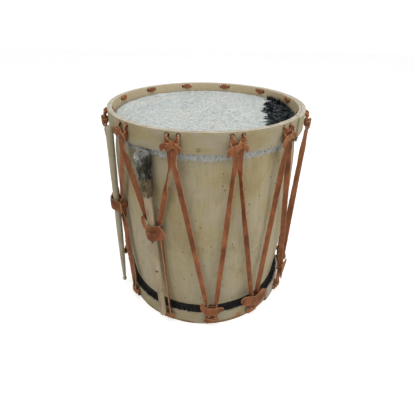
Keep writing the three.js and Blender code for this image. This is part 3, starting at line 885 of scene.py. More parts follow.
def make_hoop(node, base, lap_start, ties, hole_z):
    top = base + HOOP_HEIGHT
    soft = HOOP_EDGE_R
    low, high = base + soft, top - soft
    outer, inner = HOOP_R - soft, HOOP_INNER + soft
    rising, falling = (0, 45, 90), (90, 45, 0)
    profile = corner_points(outer, low, soft, -soft, rising)
    profile.extend((HOOP_R, mix(low, high, row / 6)) for row in range(1, 6))
    profile.extend(corner_points(outer, high, soft, soft, falling))
    outer_count = len(profile)
    profile.append((HOOP_R - HOOP_WALL / 2, top))
    profile.extend(corner_points(inner, high, -soft, soft, rising))
    profile.extend((HOOP_INNER, mix(high, low, row / 6)) for row in range(1, 6))
    profile.extend(corner_points(inner, low, -soft, -soft, falling))
    lap_end = lap_start + 359.85
    turns = [lap_start + turn for turn in even_turns(300)] + [lap_end]

    def lapped(point, azimuth, index):
        if index < outer_count:
            grow = lap_at(azimuth, lap_start) if azimuth < lap_end else 0.0
            point += outward(azimuth) * grow
            point += outward(azimuth) * 0.0003 * noise_at(point.x * 14, point.y * 14, point.z * 30)
        if index in (outer_count - 1, outer_count, outer_count + 1):
            point.z -= 0.0003 * abs(flat_noise(point, 60, 2.2))
        return point

    vertices, faces = lathe(profile, turns, lapped)
    piece = make_piece(f"{node}_visual", vertices, faces, ["hoop_wood", "hoop_rim"])
    cutters = bmesh.new()
    for azimuth in ties:
        for side in (-1, 1):
            spot = azimuth + side * hole_turn()
            centre = place(spot, HOOP_R - HOOP_WALL / 2 + 0.002, hole_z)
            turn = UP.rotation_difference(outward(spot)).to_matrix().to_4x4()
            bmesh.ops.create_cone(
                cutters, cap_ends=True, segments=22, radius1=HOLE_R, radius2=HOLE_R, depth=CUTTER_DEPTH,
                matrix=Matrix.Translation(centre) @ turn,
            )
    cutter_mesh = bpy.data.meshes.new("cutter")
    cutters.to_mesh(cutter_mesh)
    cutters.free()
    cutter = add_object("cutter", cutter_mesh)
    cut = piece.modifiers.new("holes", "BOOLEAN")
    cut.operation = "DIFFERENCE"
    cut.solver = "EXACT"
    cut.object = cutter
    bpy.context.view_layer.update()
    ready = piece.evaluated_get(bpy.context.evaluated_depsgraph_get())
    mesh = bpy.data.meshes.new_from_object(ready)
    piece.modifiers.clear()
    piece.data = mesh
    bpy.data.objects.remove(cutter, do_unlink=True)
    for polygon in mesh.polygons:
        if abs(polygon.normal.z) > 0.6:
            polygon.material_index = 1
        polygon.use_smooth = True
    split_sharp(piece, 32)
    dress(piece, "root", node)


# Stick and mallet axes
class Axis:
    def __init__(self, low, high):
        self.low = low
        self.along = (high - low).normalized()
        self.length = (high - low).length
        self.turn = UP.rotation_difference(self.along).to_matrix()
        self.frame = Matrix.Translation(low) @ self.turn.to_4x4()

    def at_height(self, height):
        return self.low + self.along * ((height - self.low.z) / self.along.z)


STICK_FOOT_Z = 0.024
STICK_TOP_Z = 0.487
STICK_HELD_Z = 0.298
MALLET_FOOT_Z = 0.042
MALLET_TOP_Z = 0.4609
MALLET_HELD_Z = 0.2824
STICK = Axis(place(-68.4, 0.2443, STICK_FOOT_Z), place(-57.1, 0.2297, STICK_TOP_Z))
MALLET = Axis(place(-24, 0.2437, MALLET_FOOT_Z), place(-31.75, 0.225, MALLET_TOP_Z))


# Straps, bands and tails
def band_frame(origin, azimuth, along):
    across = sideways(azimuth)
    across = (across - along * across.dot(along)).normalized()
    inward = along.cross(across)
    turn = Matrix((across, inward, along)).transposed().to_4x4()
    return Matrix.Translation(origin) @ turn


def rounded_loop(half_width, out_reach, in_reach, corner):
    """Points (x, y) round a rounded rectangle, starting at the outer left corner."""
    points = []
    right, out, back = half_width - corner, out_reach - corner, in_reach - corner
    for x, y, start in ((-right, -out, 180), (right, -out, 270), (right, back, 0), (-right, back, 90)):
        for part in range(5):
            turn = math.radians(start + 90 * part / 4)
            points.append((x + corner * math.cos(turn), y + corner * math.sin(turn)))
    return points


LEATHER = ["leather", "leather_edge"]

# A tie's band: half its bore, its reach out and back from the strands, its strap, height and bulge
TIE_HALF = 0.0122
TIE_OUT = 0.0032
TIE_BACK = 0.0021
TIE_STRAP = 0.0028
TIE_BAND = 0.0098
TIE_BULGE = 0.0006
# How far off the hoop the flat strands lie inside a tie
TIE_DEPTH = 0.0056
# Slope, tail length, tail side and lift of the ties whose look is known
TIE_STYLES = {
    "top_tie_10": (0.1, 0.8, -1, -0.003),
    "top_tie_11": (0.34, 0.7, -1, 0.0026),
    "top_tie_12": (0.0, 0.9, -1, 0.0012),
    "top_tie_01": (-0.3, 1.2, -1, 0.0008),
    "top_tie_02": (-0.2, 1.3, -1, 0.0010),
    "top_tie_03": (0.1, 1.4, 1, -0.0032),
}


def tie_band(matrix, tilt, seed):
    """A tie's strap, bent into a closed band; tilt slopes its front down to the right."""
    reach = TIE_STRAP / 2
    half = TIE_HALF + reach
    flat = (matrix.to_3x3() @ UP).normalized()
    stations = []
    for x, y in rounded_loop(half, TIE_OUT + reach, TIE_BACK + reach, TIE_OUT):
        rise = -tilt * x * (1 if y < 0 else -0.4)
        sway = noise_at(x * 160 + seed, y * 160, seed) * 0.0005
        bulge = TIE_BULGE * smooth(-y / TIE_OUT) * (1 - (x / half) ** 2)
        height = TIE_BAND * (1 + 0.06 * noise_at(x * 90, seed, y * 90))
        stations.append(Station(matrix @ Vector((x, y - bulge, rise + sway)), flat, height, TIE_STRAP))
    return strap_mesh(refined(stations, 0.0022, closed=True), closed=True, wobble=0.0002, seed=seed)


def make_tie(node, azimuth, height, seat, knotted, seed):
    """A collar round two strands that lie face to the hoop, with the end tucked across it and a tail."""
    builder = Builder()
    rng = random.Random(seed)
    style = TIE_STYLES.get(node, (rng.uniform(-0.2, 0.3), rng.uniform(0.5, 1.1), rng.choice((-1, 1)), 0.0))
    tilt, tail, way, lift = style
    matrix = band_frame(place(azimuth, seat + TIE_DEPTH, height + lift), azimuth, UP)
    builder.add(*tie_band(matrix, tilt, seed * 1.7))
    half = TIE_HALF
    edge = half + TIE_STRAP
    front = -TIE_OUT - TIE_STRAP
    slope = -tilt * half

    def strip(side, points, widths, thick=TIE_STRAP, extra=0, lean=0.0):
        """An open strip; its points count x towards one side and y from the collar's front."""
        flat = matrix.to_3x3() @ Vector((lean * side, 0, 1))
        stations = [
            Station(matrix @ Vector((side * x, front + y, z)), flat, width, thick)
            for (x, y, z), width in zip(points, widths)
        ]
        builder.add(*strap_mesh(refined(stations, 0.002), wobble=0.0003, seed=seed + extra))

    if knotted:
        strip(way, [
            (-half * 1.05, 0.0018, 0.0062), (-half * 0.55, -0.0010, 0.0030),
            (half * 0.25, -0.0014, -0.0010), (half, 0.0010, -0.0062),
        ], [0.0075, 0.0098, 0.0098, 0.0070], 0.0027)
        strip(way, [
            (half * 0.9, 0.0020, 0.0058), (half * 0.4, 0.0002, 0.0044),
            (-half * 0.35, 0.0004, -0.0046), (-half * 0.95, 0.0022, -0.0070),
        ], [0.0060, 0.0075, 0.0078, 0.0055], 0.0025, 7)
        for side in (-1, 1):
            strip(side, [
                (edge - 0.004, 0.003, 0.001), (edge + 0.0005, 0.0034, -0.001),
                (edge + 0.0035, 0.004, -0.0045),
            ], [0.009, 0.0078, 0.0040], 0.0026, 3 + side)
    else:
        strip(way, [
            (edge - 0.005, 0.0004, slope * way + 0.001), (edge - 0.0005, -0.0004, slope * way - 0.001 * tail),
            (edge + 0.003, 0.0004, slope * way - 0.006 * tail),
            (edge + 0.0045, 0.0022, slope * way - 0.012 * tail),
        ], [0.0110, 0.0112, 0.0100, 0.0045], lean=0.35)
        strip(way, [
            (-half * 0.3, 0.0016, 0.0085), (-half * 0.15, -0.0014, 0.0040),
            (half * 0.35, -0.0022, -0.0016), (half * 0.8, -0.0006, -0.0068),
        ], [0.0080, 0.0105, 0.0110, 0.0085], extra=9, lean=0.5)
        strip(-way, [
            (half - 0.0060, -0.0008, 0.0026), (edge - 0.0028, -0.0012, -0.0016),
            (edge - 0.0006, 0.0002, -0.0062), (edge + 0.0006, 0.0018, -0.0104),
        ], [0.0080, 0.0098, 0.0086, 0.0050], extra=4, lean=0.4)
    piece = builder.finish(f"{node}_visual", LEATHER)
    split_sharp(piece, 45)
    dress(piece, "root", node)


# Half the distance between the strands where a slider draws them closer together
NARROW_SPREADS = {0: 0.0105, 1: 0.0078, 2: 0.0078}
USUAL_SPREAD = 0.0115

# The two raised sliders: what each holds, its radius, and how far its right strand tucks in
HELD = {STICK_SLIDER: (STICK, 0.0076, 0.002), MALLET_SLIDER: (MALLET, 0.0077, 0.0035)}
HELD_OFFSET = 0.005
HELD_PLAY = 0.0003


class Slider:
    """Where a slider rests, and the strands and the stick that it holds."""

    def __init__(self, index):
        self.index = index
        self.number = f"{index + 1:02d}"
        height = SLIDER_SHARES[index] * DRUM_HEIGHT
        if index not in HELD:
            self.azimuth = BOTTOM_TIES[index]
            seat = seat_radius(self.azimuth, BOTTOM_LAP_START)
            self.frame = band_frame(place(self.azimuth, seat + STRAND_GAP, height), self.azimuth, UP)
            spread = NARROW_SPREADS.get(index, USUAL_SPREAD)
            self.depths = {-1: 0.0, 1: 0.0}
            self.low_depth = 0.0
            self.spreads = {-1: spread, 1: spread}
            self.height = 0.022
            self.held = []
            return
        axis, radius, tuck = HELD[index]
        middle = axis.at_height(height)
        held_radius = math.hypot(middle.x, middle.y)
        turn = math.degrees(math.atan2(middle.x, -middle.y)) % 360
        self.azimuth = turn + arc_degrees(HELD_OFFSET, held_radius)
        self.frame = band_frame(place(self.azimuth, held_radius, height), self.azimuth, axis.along)
        beside = radius + 0.00035 + STRAP_THICK / 2
        depth = held_radius - (HOOP_R + STRAND_GAP - 0.006)
        self.depths = {-1: depth * 0.55, 1: depth * 0.75}
        self.low_depth = depth
        self.spreads = {-1: beside + HELD_OFFSET + 0.0012, 1: max(0.012, beside - HELD_OFFSET) - tuck}
        self.height = 0.027
        self.held = [(-HELD_OFFSET, 0.0, radius + HELD_PLAY)]


def hull_loop(rounds):
    """The loop (x, y) that a band takes when drawn tight round circles (x, y, radius)."""
    points = []
    for x, y, radius in rounds:
        for step in range(24):
            turn = 2 * math.pi * step / 24
            points.append((x + radius * math.cos(turn), y + radius * math.sin(turn)))
    points.sort()

    def half(run):
        chain = []
        for point in run:
            while len(chain) > 1:
                (ax, ay), (bx, by) = chain[-2], chain[-1]
                if (bx - ax) * (point[1] - ay) - (by - ay) * (point[0] - ax) > 1e-12:
                    break
                chain.pop()
            chain.append(point)
        return chain

    return half(points)[:-1] + half(points[::-1])[:-1]


CHAIN_STEP = 0.0005


def even_chain(points, step):
    """The same polyline with points an even step apart."""
    result = [Vector(points[0])]
    left = step
    for first, second in zip(points, points[1:]):
        first, second = Vector(first), Vector(second)
        length = (second - first).length
        along = left
        while along <= length:
            result.append(first.lerp(second, along / length))
            along += step
        left = along - length
    return result


def front_chain(rounds, round_right):
    """The front of the hull's loop from left to right, and round its right side where told.

    Each point comes with its distance along the chain from x = 0.
    """
    loop = hull_loop(rounds)
    left = min(range(len(loop)), key=lambda index: loop[index][0])
    loop = loop[left:] + loop[:left]
    right = max(range(len(loop)), key=lambda index: loop[index][0])
    chain = even_chain(loop[:right + 1], CHAIN_STEP)
    facing = [
        index for index in range(1, len(chain) - 1)
        if abs((chain[index + 1] - chain[index - 1]).normalized().y) < 0.8
    ]
    last = len(chain) - 1 if round_right else facing[-1]
    chain = chain[facing[0]:last + 1]
    nearest = min(range(len(chain)), key=lambda index: abs(chain[index].x))
    return [((index - nearest) * CHAIN_STEP, point) for index, point in enumerate(chain)]


def chain_point(chain, run, flares):
    """A point and outward normal at a distance along the chain.

    Past the chain's ends the sheet stands out by its flare there.
    """
    if run < chain[0][0] or run > chain[-1][0]:
        end, step, flare = (chain[0], -1, flares[0]) if run < chain[0][0] else (chain[-1], 1, flares[1])
        over = abs(run - end[0])
        direction = Vector((step, -flare)).normalized()
        return end[1] + direction * over, Vector((-flare * step, -1)).normalized()
    index = min(range(len(chain)), key=lambda number: abs(chain[number][0] - run))
    before, after = chain[max(0, index - 4)][1], chain[min(len(chain) - 1, index + 4)][1]
    along = (after - before).normalized()
    return chain[index][1], Vector((along.y, -along.x))


def keyed(keys, value, item=1):
    """An item of the keys, smoothly between the two that the value lies between."""
    if value <= keys[0][0]:
        return keys[0][item]
    for low, high in zip(keys, keys[1:]):
        if value <= high[0]:
            return mix(low[item], high[item], smooth((value - low[0]) / (high[0] - low[0])))
    return keys[-1][item]


def add_sheet(builder, matrix, chain, outline, slits, tilt, flares, seed):
    """A leather sheet wrapped on the front of a band.

    The outline gives (run, low, high) and each slit (left, right, low, high), all in millimetres.
    """
    first_run, last_run = outline[0][0], outline[-1][0]
    columns, rows = max(24, round((last_run - first_run) / 1.1)), 18
    fronts, backs = [], []

    def spot_on(column, row):
        run = mix(first_run, last_run, column / columns)
        return run, mix(keyed(outline, run, 1), keyed(outline, run, 2), row / rows)

    for column in range(columns + 1):
        point, normal = chain_point(chain, spot_on(column, 0)[0] / 1000, flares)
        facing = Vector((normal.x, normal.y, 0))
        for row in range(rows + 1):
            run, height = spot_on(column, row)
            curl = noise_at(run * 0.11, height * 0.11, seed) * 0.0007
            edge_curl = 0.0009 * smooth((height - 8) / 8) + 0.0006 * smooth((-height - 8) / 6)
            out = SHEET_LIFT + curl - edge_curl * 0.4
            spot = Vector((point.x + normal.x * out, point.y + normal.y * out, (height - tilt * run) / 1000))
            fronts.append(matrix @ (spot + facing * SLIDER_WALL / 2))
            backs.append(matrix @ (spot - facing * SLIDER_WALL / 2))
    count = len(fronts)
    faces, picks = [], []

    def kept(column, row):
        if not (0 <= column < columns and 0 <= row < rows):
            return False
        run, height = spot_on(column + 0.5, row + 0.5)
        return not any(left < run < right and low < height < high for left, right, low, high in slits)

    for column in range(columns):
        for row in range(rows):
            if not kept(column, row):
                continue
            a = column * (rows + 1) + row
            b, c, d = a + rows + 1, a + rows + 2, a + 1
            faces.extend([(a, b, c, d), (count + a, count + d, count + c, count + b)])
            picks.extend([0, 0])
            for near, first, second in (
                ((column, row - 1), a, b), ((column + 1, row), b, c),
                ((column, row + 1), c, d), ((column - 1, row), d, a),
            ):
                if not kept(*near):
                    faces.append((first, count + first, count + second, second))
                    picks.append(1)
    builder.add(fronts + backs, faces, picks)


# The sliders' front sheets by index. The outline gives (run from the middle, lower edge, upper edge) and
# each slit (left, right, low, high), in millimetres; the tilt is how far the front slopes down to the right.
SHEETS = {
    0: ([(-29, 18, 29), (-27, 11, 34), (-23, 3, 35), (-19, -4, 27), (-15, -8, 18), (-10, -10, 14),
         (-2, -11, 13.5), (10, -10.5, 14), (16, -6, 15), (23, 3, 16), (30, 12, 15.5)],
        [(-7, 1, -1.6, 0), (4.5, 6, -2, 3)], 0.03),
    1: ([(-43, 12, 19), (-40, 6, 25), (-34, 1, 28), (-24, -5, 26), (-14, -9, 23), (-4, -13, 20), (6, -17, 21),
         (11, -18, 26), (16, -14, 30), (21, -8, 32), (26, 0, 30), (29, 6, 27)], [(-15, 3, 3.6, 6.6)], 0.0),
    2: ([(-34, -12, -4), (-30, -18, 1), (-18, -20, 6), (6, -18, 7), (14, -15, 8), (20, -9, 10),
         (25, -1, 12)], [(-4, 4, -7.5, -5.5)], 0.05),
    10: ([(-27, 10, 22), (-23, -1, 23), (-19, -8, 18), (-14, -12, 15), (0, -13.5, 14), (12, -14, 14),
          (20, -13.5, 13), (27, -12, 12), (33, -9, 9), (36, -5, 5)], [(-2, 6, -1.2, 0.4)], 0.12),
    11: ([(-31, 16, 31), (-28, 7, 35), (-24, -2, 32), (-18, -10, 25), (-12, -13, 21.5), (0, -14, 20.5),
          (12, -13, 21), (20, -11, 20.5), (27, -7, 17), (33, -2, 10), (35, 2, 6)],
         [(-12, -4, 4.2, 9.2), (0, 3.4, 4.6, 10.4), (6.6, 9.0, 3.8, 10.8)], 0.12),
}


# A slider's band and sheet, and how far the sheet's middle lies off the band
SLIDER_WALL = 0.0028
SHEET_LIFT = 0.0016


def make_slider(slider):
    name = f"slider_{slider.number}"
    builder = Builder()
    seed = 40 + slider.index * 2.3
    rng = random.Random(200 + slider.index)
    soft = 0.0006
    rounds = []
    for side in (-1, 1):
        for across in (-1, 1):
            for deep in (-1, 1):
                x = side * slider.spreads[side] + across * (STRAP_THICK / 2 - soft)
                y = (slider.depths[side] if deep < 0 else slider.low_depth) + deep * (EDGEWISE / 2 - soft)
                rounds.append((x, y, soft + HELD_PLAY))
    rounds.extend(slider.held)
    outline, slits, tilt = SHEETS.get(slider.index, SHEETS[2 * (slider.index % 2)])
    if slider.index not in SHEETS:
        stretch = rng.uniform(0.92, 1.06)
        outline = [
            (run * stretch, low + rng.uniform(-0.8, 0.8), high + rng.uniform(-0.8, 0.8))
            for run, low, high in outline
        ]
        tilt = rng.uniform(-0.06, 0.16)
    loop = hull_loop([(x, y, radius + SLIDER_WALL / 2) for x, y, radius in rounds])
    flat = (slider.frame.to_3x3() @ UP).normalized()
    stations = []
    for point in even_chain(loop + loop[:1], 0.0022)[:-1]:
        front = smooth((slider.low_depth - point.y) / (slider.low_depth + 0.004))
        height = slider.height * mix(0.5, 0.3 if slider.held else 0.8, front)
        centre = slider.frame @ Vector((point.x, point.y, -tilt * point.x))
        stations.append(Station(centre, flat, height, SLIDER_WALL))
    builder.add(*strap_mesh(stations, closed=True, wobble=0.0002, seed=seed))
    around = [(x, y, radius + SLIDER_WALL) for x, y, radius in rounds]
    chain = front_chain(around, slider.index == STICK_SLIDER)
    flares = (-0.2, 0.1) if slider.index == 1 else (0.18, 0.18)
    add_sheet(builder, slider.frame, chain, outline, slits, tilt, flares, seed)
    piece = builder.finish(f"{name}_visual", LEATHER)
    split_sharp(piece, 45)
    dress(piece, name, name)


# Lace
def pass_hoop(hole_azimuth, side, vertical, hole_z, seat, stitch_end):
    """From the middle of a stitch inside a hoop, round its end and into the hole."""

    def station(azimuth, radius, offset, width, thick):
        return Station(place(azimuth, radius, hole_z, offset), UP * -vertical, width, thick)

    bend_start = hole_azimuth + side * arc_degrees(INNER_BEND, STITCH_R)
    stations = [
        station(azimuth, STITCH_R, 0.0, STRAP_WIDTH, STRAP_THICK)
        for azimuth in (stitch_end, (stitch_end + bend_start) / 2)
    ]
    for turn in (0, 45, 90):
        bend = math.radians(turn)
        radius = STITCH_R + INNER_BEND * (1 - math.cos(bend))
        offset = side * INNER_BEND * (1 - math.sin(bend))
        thick = STRAP_THICK if turn == 0 else FOLDED_THICK
        stations.append(station(hole_azimuth, radius, offset, FOLDED_WIDTH, thick))
    stations.append(station(hole_azimuth, (STITCH_R + INNER_BEND + seat) / 2, 0.0, *HOLE_SECTION))
    return stations


def turned_flat(azimuth, degrees):
    turn = math.radians(degrees)
    return outward(azimuth) * math.cos(turn) + sideways(azimuth) * math.sin(turn)


def down_to_tie(hole_azimuth, tie_azimuth, side, vertical, hole_z, tie_z, seat):
    """From the hole round onto the hoop's face and flat through the tie; side is where the strand lies."""
    flat_up = UP * -vertical
    half_way = (flat_up * 0.3 + turned_flat(hole_azimuth, 38)).normalized()
    run = abs(tie_z - hole_z)
    stations = [
        Station(place(hole_azimuth, seat + 0.0020, hole_z + vertical * 0.0004), flat_up, *HOLE_SECTION),
        Station(place(hole_azimuth, seat + 0.0046, hole_z + vertical * 0.0030), half_way, 0.0096, 0.0036),
    ]
    for out, down, share, turn, width, thick in (
        (0.0054, 0.0074, 0.90, 66, 0.0104, 0.0032),
        (TIE_DEPTH, run - 0.0060, 0.60, 82, 0.0106, STRAP_THICK),
        (TIE_DEPTH, run + 0.0062, 0.55, 82, 0.0108, STRAP_THICK),
    ):
        centre = place(tie_azimuth, seat + out, hole_z + vertical * down, side * HOLE_SPACING / 2 * share)
        stations.append(Station(centre, turned_flat(tie_azimuth, turn), width, thick))
    return stations


# Where a strand shows its face: by lace index and side (-1 left, 1 right), the twist in degrees at shares of
# the way down. Zero stands edgewise and 90 lies flat to the drum.
TWISTS = {
    (10, -1): [(0, 80), (0.7, 80), (1, 20)],
    (10, 1): [(0, 100), (0.2, 108), (0.9, 104), (1, 80)],
    (11, -1): [(0, 100), (0.08, 125), (0.85, 120), (1, 70)],
    (11, 1): [(0, 85), (0.05, 35), (0.25, 40), (0.5, 108), (0.93, 108), (1, 60)],
    (0, -1): [(0, 88), (0.9, 88), (1, 50)],
    (0, 1): [(0, 85), (0.05, 28), (0.16, 36), (0.45, 80), (0.9, 82), (1, 45)],
    (1, -1): [(0, 85), (0.05, 8), (0.25, 20), (0.5, 66), (0.92, 66), (1, 40)],
    (1, 1): [(0, 70), (0.1, 50), (0.92, 50), (1, 30)],
    (2, -1): [(0, 60), (0.1, 34), (0.92, 30), (1, 20)],
    (2, 1): [(0, 60), (0.1, 20), (0.92, 18), (1, 10)],
    (3, -1): [(0, 60), (0.1, 10), (0.92, 8), (1, 0)],
}


# The same for the lower strands of the two raised sliders, whose index is raised by 20
LOWER_TWISTS = {
    (30, -1): [(0, 0), (0.2, 60), (1, 60)],
    (30, 1): [(0, 0), (0.15, 120), (0.8, 120), (1, 60)],
    (31, -1): [(0, 0), (0.3, 20), (0.6, 70), (1, 60)],
    (31, 1): [(0, 0), (0.2, 10), (0.8, 20), (1, 40)],
}


# Of the laces' strands above the sliders, those whose straight start is longer
LONG_STARTS = ((0, -1), (0, 1), (1, -1), (11, 1))


def twist_at(index, side, share, length):
    keys = TWISTS.get((index, side)) or LOWER_TWISTS.get((index, side))
    if keys is None:
        near = min(share, 1 - share) * length
        return 90 * smooth(near / min(0.06, length / 2))
    return keyed(keys, share)


def strand_span(first, second, azimuth, index, side):
    """The stations between two others, turned by the twists of that lace and side."""
    length = (second.centre - first.centre).length
    count = max(4, round(length / 0.012))
    stations = []
    for step in range(1, count):
        share = step / count
        degrees = twist_at(index, side, share, length)
        known = smooth(min(share, 1 - share) / 0.12) if (index, side) in TWISTS else 0.0
        width = mix(mix(EDGEWISE, STRAP_WIDTH, min(1.0, degrees / 90)), STRAP_WIDTH, known)
        centre = first.centre.lerp(second.centre, share)
        stations.append(Station(centre, turned_flat(azimuth, degrees), width, STRAP_THICK))
    return stations


def strand_halves(slider, side):
    """One strand of a V as two runs: top stitch to slider, and slider to bottom stitch.

    Also gives the stations where it parts from its neighbour, enters and leaves the band, and enters the
    bottom tie.
    """
    index = slider.index
    top_azimuth = TIE_STEP * (index + side / 2)
    top_seat = seat_radius(top_azimuth, TOP_LAP_START)
    top_hole = top_azimuth - side * hole_turn()
    upper = pass_hoop(top_hole, side, -1, TOP_HOLE_Z, top_seat, top_azimuth)
    upper.extend(down_to_tie(top_hole, top_azimuth, -side, -1, TOP_HOLE_Z, TOP_TIE_Z, top_seat))
    lean = TWISTS.get((index, side), [(0, 80)])[0][1]
    join = 0.0046
    join_top = TOP_TIE_Z - 0.021
    join_low = join_top - (0.017 if (index, side) in LONG_STARTS else 0.011)
    upper.append(Station(
        place(top_azimuth, top_seat + 0.0066, TOP_TIE_Z - 0.0135, -side * 0.0056),
        turned_flat(top_azimuth, 82), 0.0108, STRAP_THICK,
    ))
    for height, offset, width in ((join_top, -side * join, 0.0104), (join_low, -side * join * 0.95, 0.0100)):
        centre = place(top_azimuth, top_seat + STRAND_GAP, height, offset)
        centre -= outward(top_azimuth) * 0.0012 * side
        upper.append(Station(centre, turned_flat(top_azimuth, lean), width, STRAP_THICK))
    parting = upper[-1]

    def in_band(centre):
        return Station(centre, outward(slider.azimuth), EDGEWISE, STRAP_THICK)

    def band_end(end):
        depth = slider.depths[side] if end > 0 else slider.low_depth
        local = Vector((side * slider.spreads[side], depth, end * (slider.height / 2 + 0.001)))
        return in_band(slider.frame @ local)

    band_top, band_base = band_end(1), band_end(-1)
    middle = in_band((band_top.centre + band_base.centre) / 2)
    upper.extend(strand_span(parting, band_top, (top_azimuth + slider.azimuth) / 2, index, side))
    upper.extend([band_top, middle])
    low_azimuth = BOTTOM_TIES[index]
    low_seat = seat_radius(low_azimuth, BOTTOM_LAP_START)
    over_tie = BOTTOM_TIE_Z + TIE_HEIGHT / 2 + 0.0035
    into = Station(
        place(low_azimuth, low_seat + STRAND_GAP - 0.0008, over_tie, side * 0.007),
        turned_flat(low_azimuth, 40), EDGEWISE, STRAP_THICK,
    )
    lower = [middle, band_base]
    if slider.held:
        lower.extend(strand_span(band_base, into, slider.azimuth, index + 20, side))
    lower.append(into)
    low_hole = low_azimuth + side * hole_turn()
    below = pass_hoop(low_hole, -side, 1, BOTTOM_HOLE_Z, low_seat, low_azimuth)
    below.extend(down_to_tie(low_hole, low_azimuth, side, 1, BOTTOM_HOLE_Z, BOTTOM_TIE_Z, low_seat))
    lower.extend(reversed(below))
    return upper, lower, (parting, band_top, band_base, into)


def make_lace(slider):
    """A V in two pieces, each blended between the hoops and the slider where the two strands meet it."""
    uppers, lowers = Builder(), Builder()
    for side in (-1, 1):
        upper, lower, marks = strand_halves(slider, side)
        seed = slider.index * 5.1 + side
        uppers.add(*strap_mesh(refined(upper, 0.004), wobble=0.00045, seed=seed))
        lowers.add(*strap_mesh(refined(lower, 0.004), wobble=0.0003, seed=seed))

    upper_piece = uppers.finish(f"lace_{slider.number}_upper", LEATHER)
    lower_piece = lowers.finish(f"lace_{slider.number}_lower", LEATHER)
    for piece in (upper_piece, lower_piece):
        split_sharp(piece, 40)
        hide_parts(f"lace_{slider.number}")
    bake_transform(upper_piece)
    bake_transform(lower_piece)


# Stick and mallet
STICK_PROFILE = [
    (0, 0.3), (0.005, 0.54), (0.014, 0.70), (0.024, 0.58), (0.034, 0.45), (0.07, 0.56), (0.19, 0.78),
    (0.44, 0.95), (0.7, 0.88), (0.81, 0.96), (0.965, 1), (0.99, 0.86), (1, 0.45),
]


def profile_at(shares, along):
    """A girth between the two nearest in a list of (share, girth)."""
    for (low, low_girth), (high, high_girth) in zip(shares, shares[1:]):
        if along <= high:
            return mix(low_girth, high_girth, (along - low) / (high - low))
    return shares[-1][1]


def ring_points(axis, radius, along, segments, uneven, tongue=None):
    """A ring about an axis; uneven(along, turn) is the radius's growth, tongue a point's shift along it."""
    points = []
    for step in range(segments):
        turn = 2 * math.pi * step / segments
        grown = radius * (1 + uneven(along, turn)) if uneven else radius
        height = along + tongue(along, turn) if tongue else along
        points.append(axis.frame @ Vector((grown * math.cos(turn), grown * math.sin(turn), height)))
    return points


def ring_faces(rows, segments, closed=False):
    """Faces between rows of ring points, and back from the last row to the first where closed."""
    faces = []
    for row in range(rows if closed else rows - 1):
        here, there = row * segments, (row + 1) % rows * segments
        for step in range(segments):
            after = (step + 1) % segments
            faces.append((here + step, here + after, there + after, there + step))
    return faces


def turned_piece(name, axis, profile, segments, finish, uneven):
    vertices = []
    for along, radius in profile:
        vertices.extend(ring_points(axis, radius, along, segments, uneven))
    faces = ring_faces(len(profile), segments)
    faces.append(tuple(reversed(range(segments))))
    faces.append(tuple(range((len(profile) - 1) * segments, len(profile) * segments)))
    piece = make_piece(name, vertices, faces, [finish])
    split_sharp(piece, 55)
    return piece


def make_stick():
    rows = sorted({share for share, _ in STICK_PROFILE} | {index / 110 for index in range(111)})
    profile = [(share * STICK.length, 0.008 * profile_at(STICK_PROFILE, share)) for share in rows]
    slider_share = (STICK_HELD_Z - STICK_FOOT_Z) / (STICK_TOP_Z - STICK_FOOT_Z)

    def facets(along, turn):
        near = abs(along / STICK.length - slider_share) < 0.05
        carved = round_noise(turn, 1.6, along * 11)
        return (0.0 if near else 0.035) * carved - 0.012

    piece = turned_piece("drumstick_visual", STICK, profile, 28, "pale_wood", facets)
    dress(piece, "drumstick", "drumstick")


# The mallet, measured along its axis from the handle's foot
MALLET_HEAD_BASE = MALLET.length - 0.056
MALLET_HEAD_LENGTH = 0.0545
MALLET_WRAP_BASE = MALLET_HEAD_BASE - 0.036
MALLET_WRAP_LENGTH = 0.0375
HANDLE_R = 0.0077
HANDLE_SHOULDER_R = 0.0090
HEAD_SHARES = [
    (0, 0.6), (0.2, 0.7), (0.4, 0.82), (0.6, 0.94), (0.76, 0.98), (0.88, 0.88), (0.95, 0.68), (1, 0.3),
]

# The branch's knots: where along the handle, and which way they look
BRANCH_KNOTS = ((0.012, 2.2), (0.071, -1.1), (0.158, 0.6), (0.214, -2.4), (0.277, -0.7))


def make_handle():
    length = MALLET.length
    rows = [(0.0, 0.0052), (0.0012, 0.0070), (0.003, HANDLE_R)]
    for index in range(1, 90):
        along = index / 90 * (length - 0.022)
        if along > 0.004:
            shoulder = smooth((along - (length - 0.145)) / 0.033)
            rows.append((along, mix(HANDLE_R, HANDLE_SHOULDER_R, shoulder)))
    slider_along = (MALLET_HELD_Z - MALLET_FOOT_Z) / MALLET.along.z

    def branch(along, turn):
        near = abs(along - slider_along) < 0.02
        bark = round_noise(turn, 1.4, along * 16)
        fine = round_noise(turn, 4, along * 60)
        knots = 0.0
        for spot, way in BRANCH_KNOTS:
            reach = ((along - spot) / 0.006) ** 2 + (math.remainder(turn - way, 2 * math.pi) / 0.5) ** 2
            knots += 0.16 * math.exp(-reach)
        return (0.0 if near else 0.06 * bark + 0.03 * fine + knots) - 0.02

    piece = turned_piece("mallet_handle_visual", MALLET, rows, 26, "branch_wood", branch)
    dress(piece, "mallet", "mallet_handle")


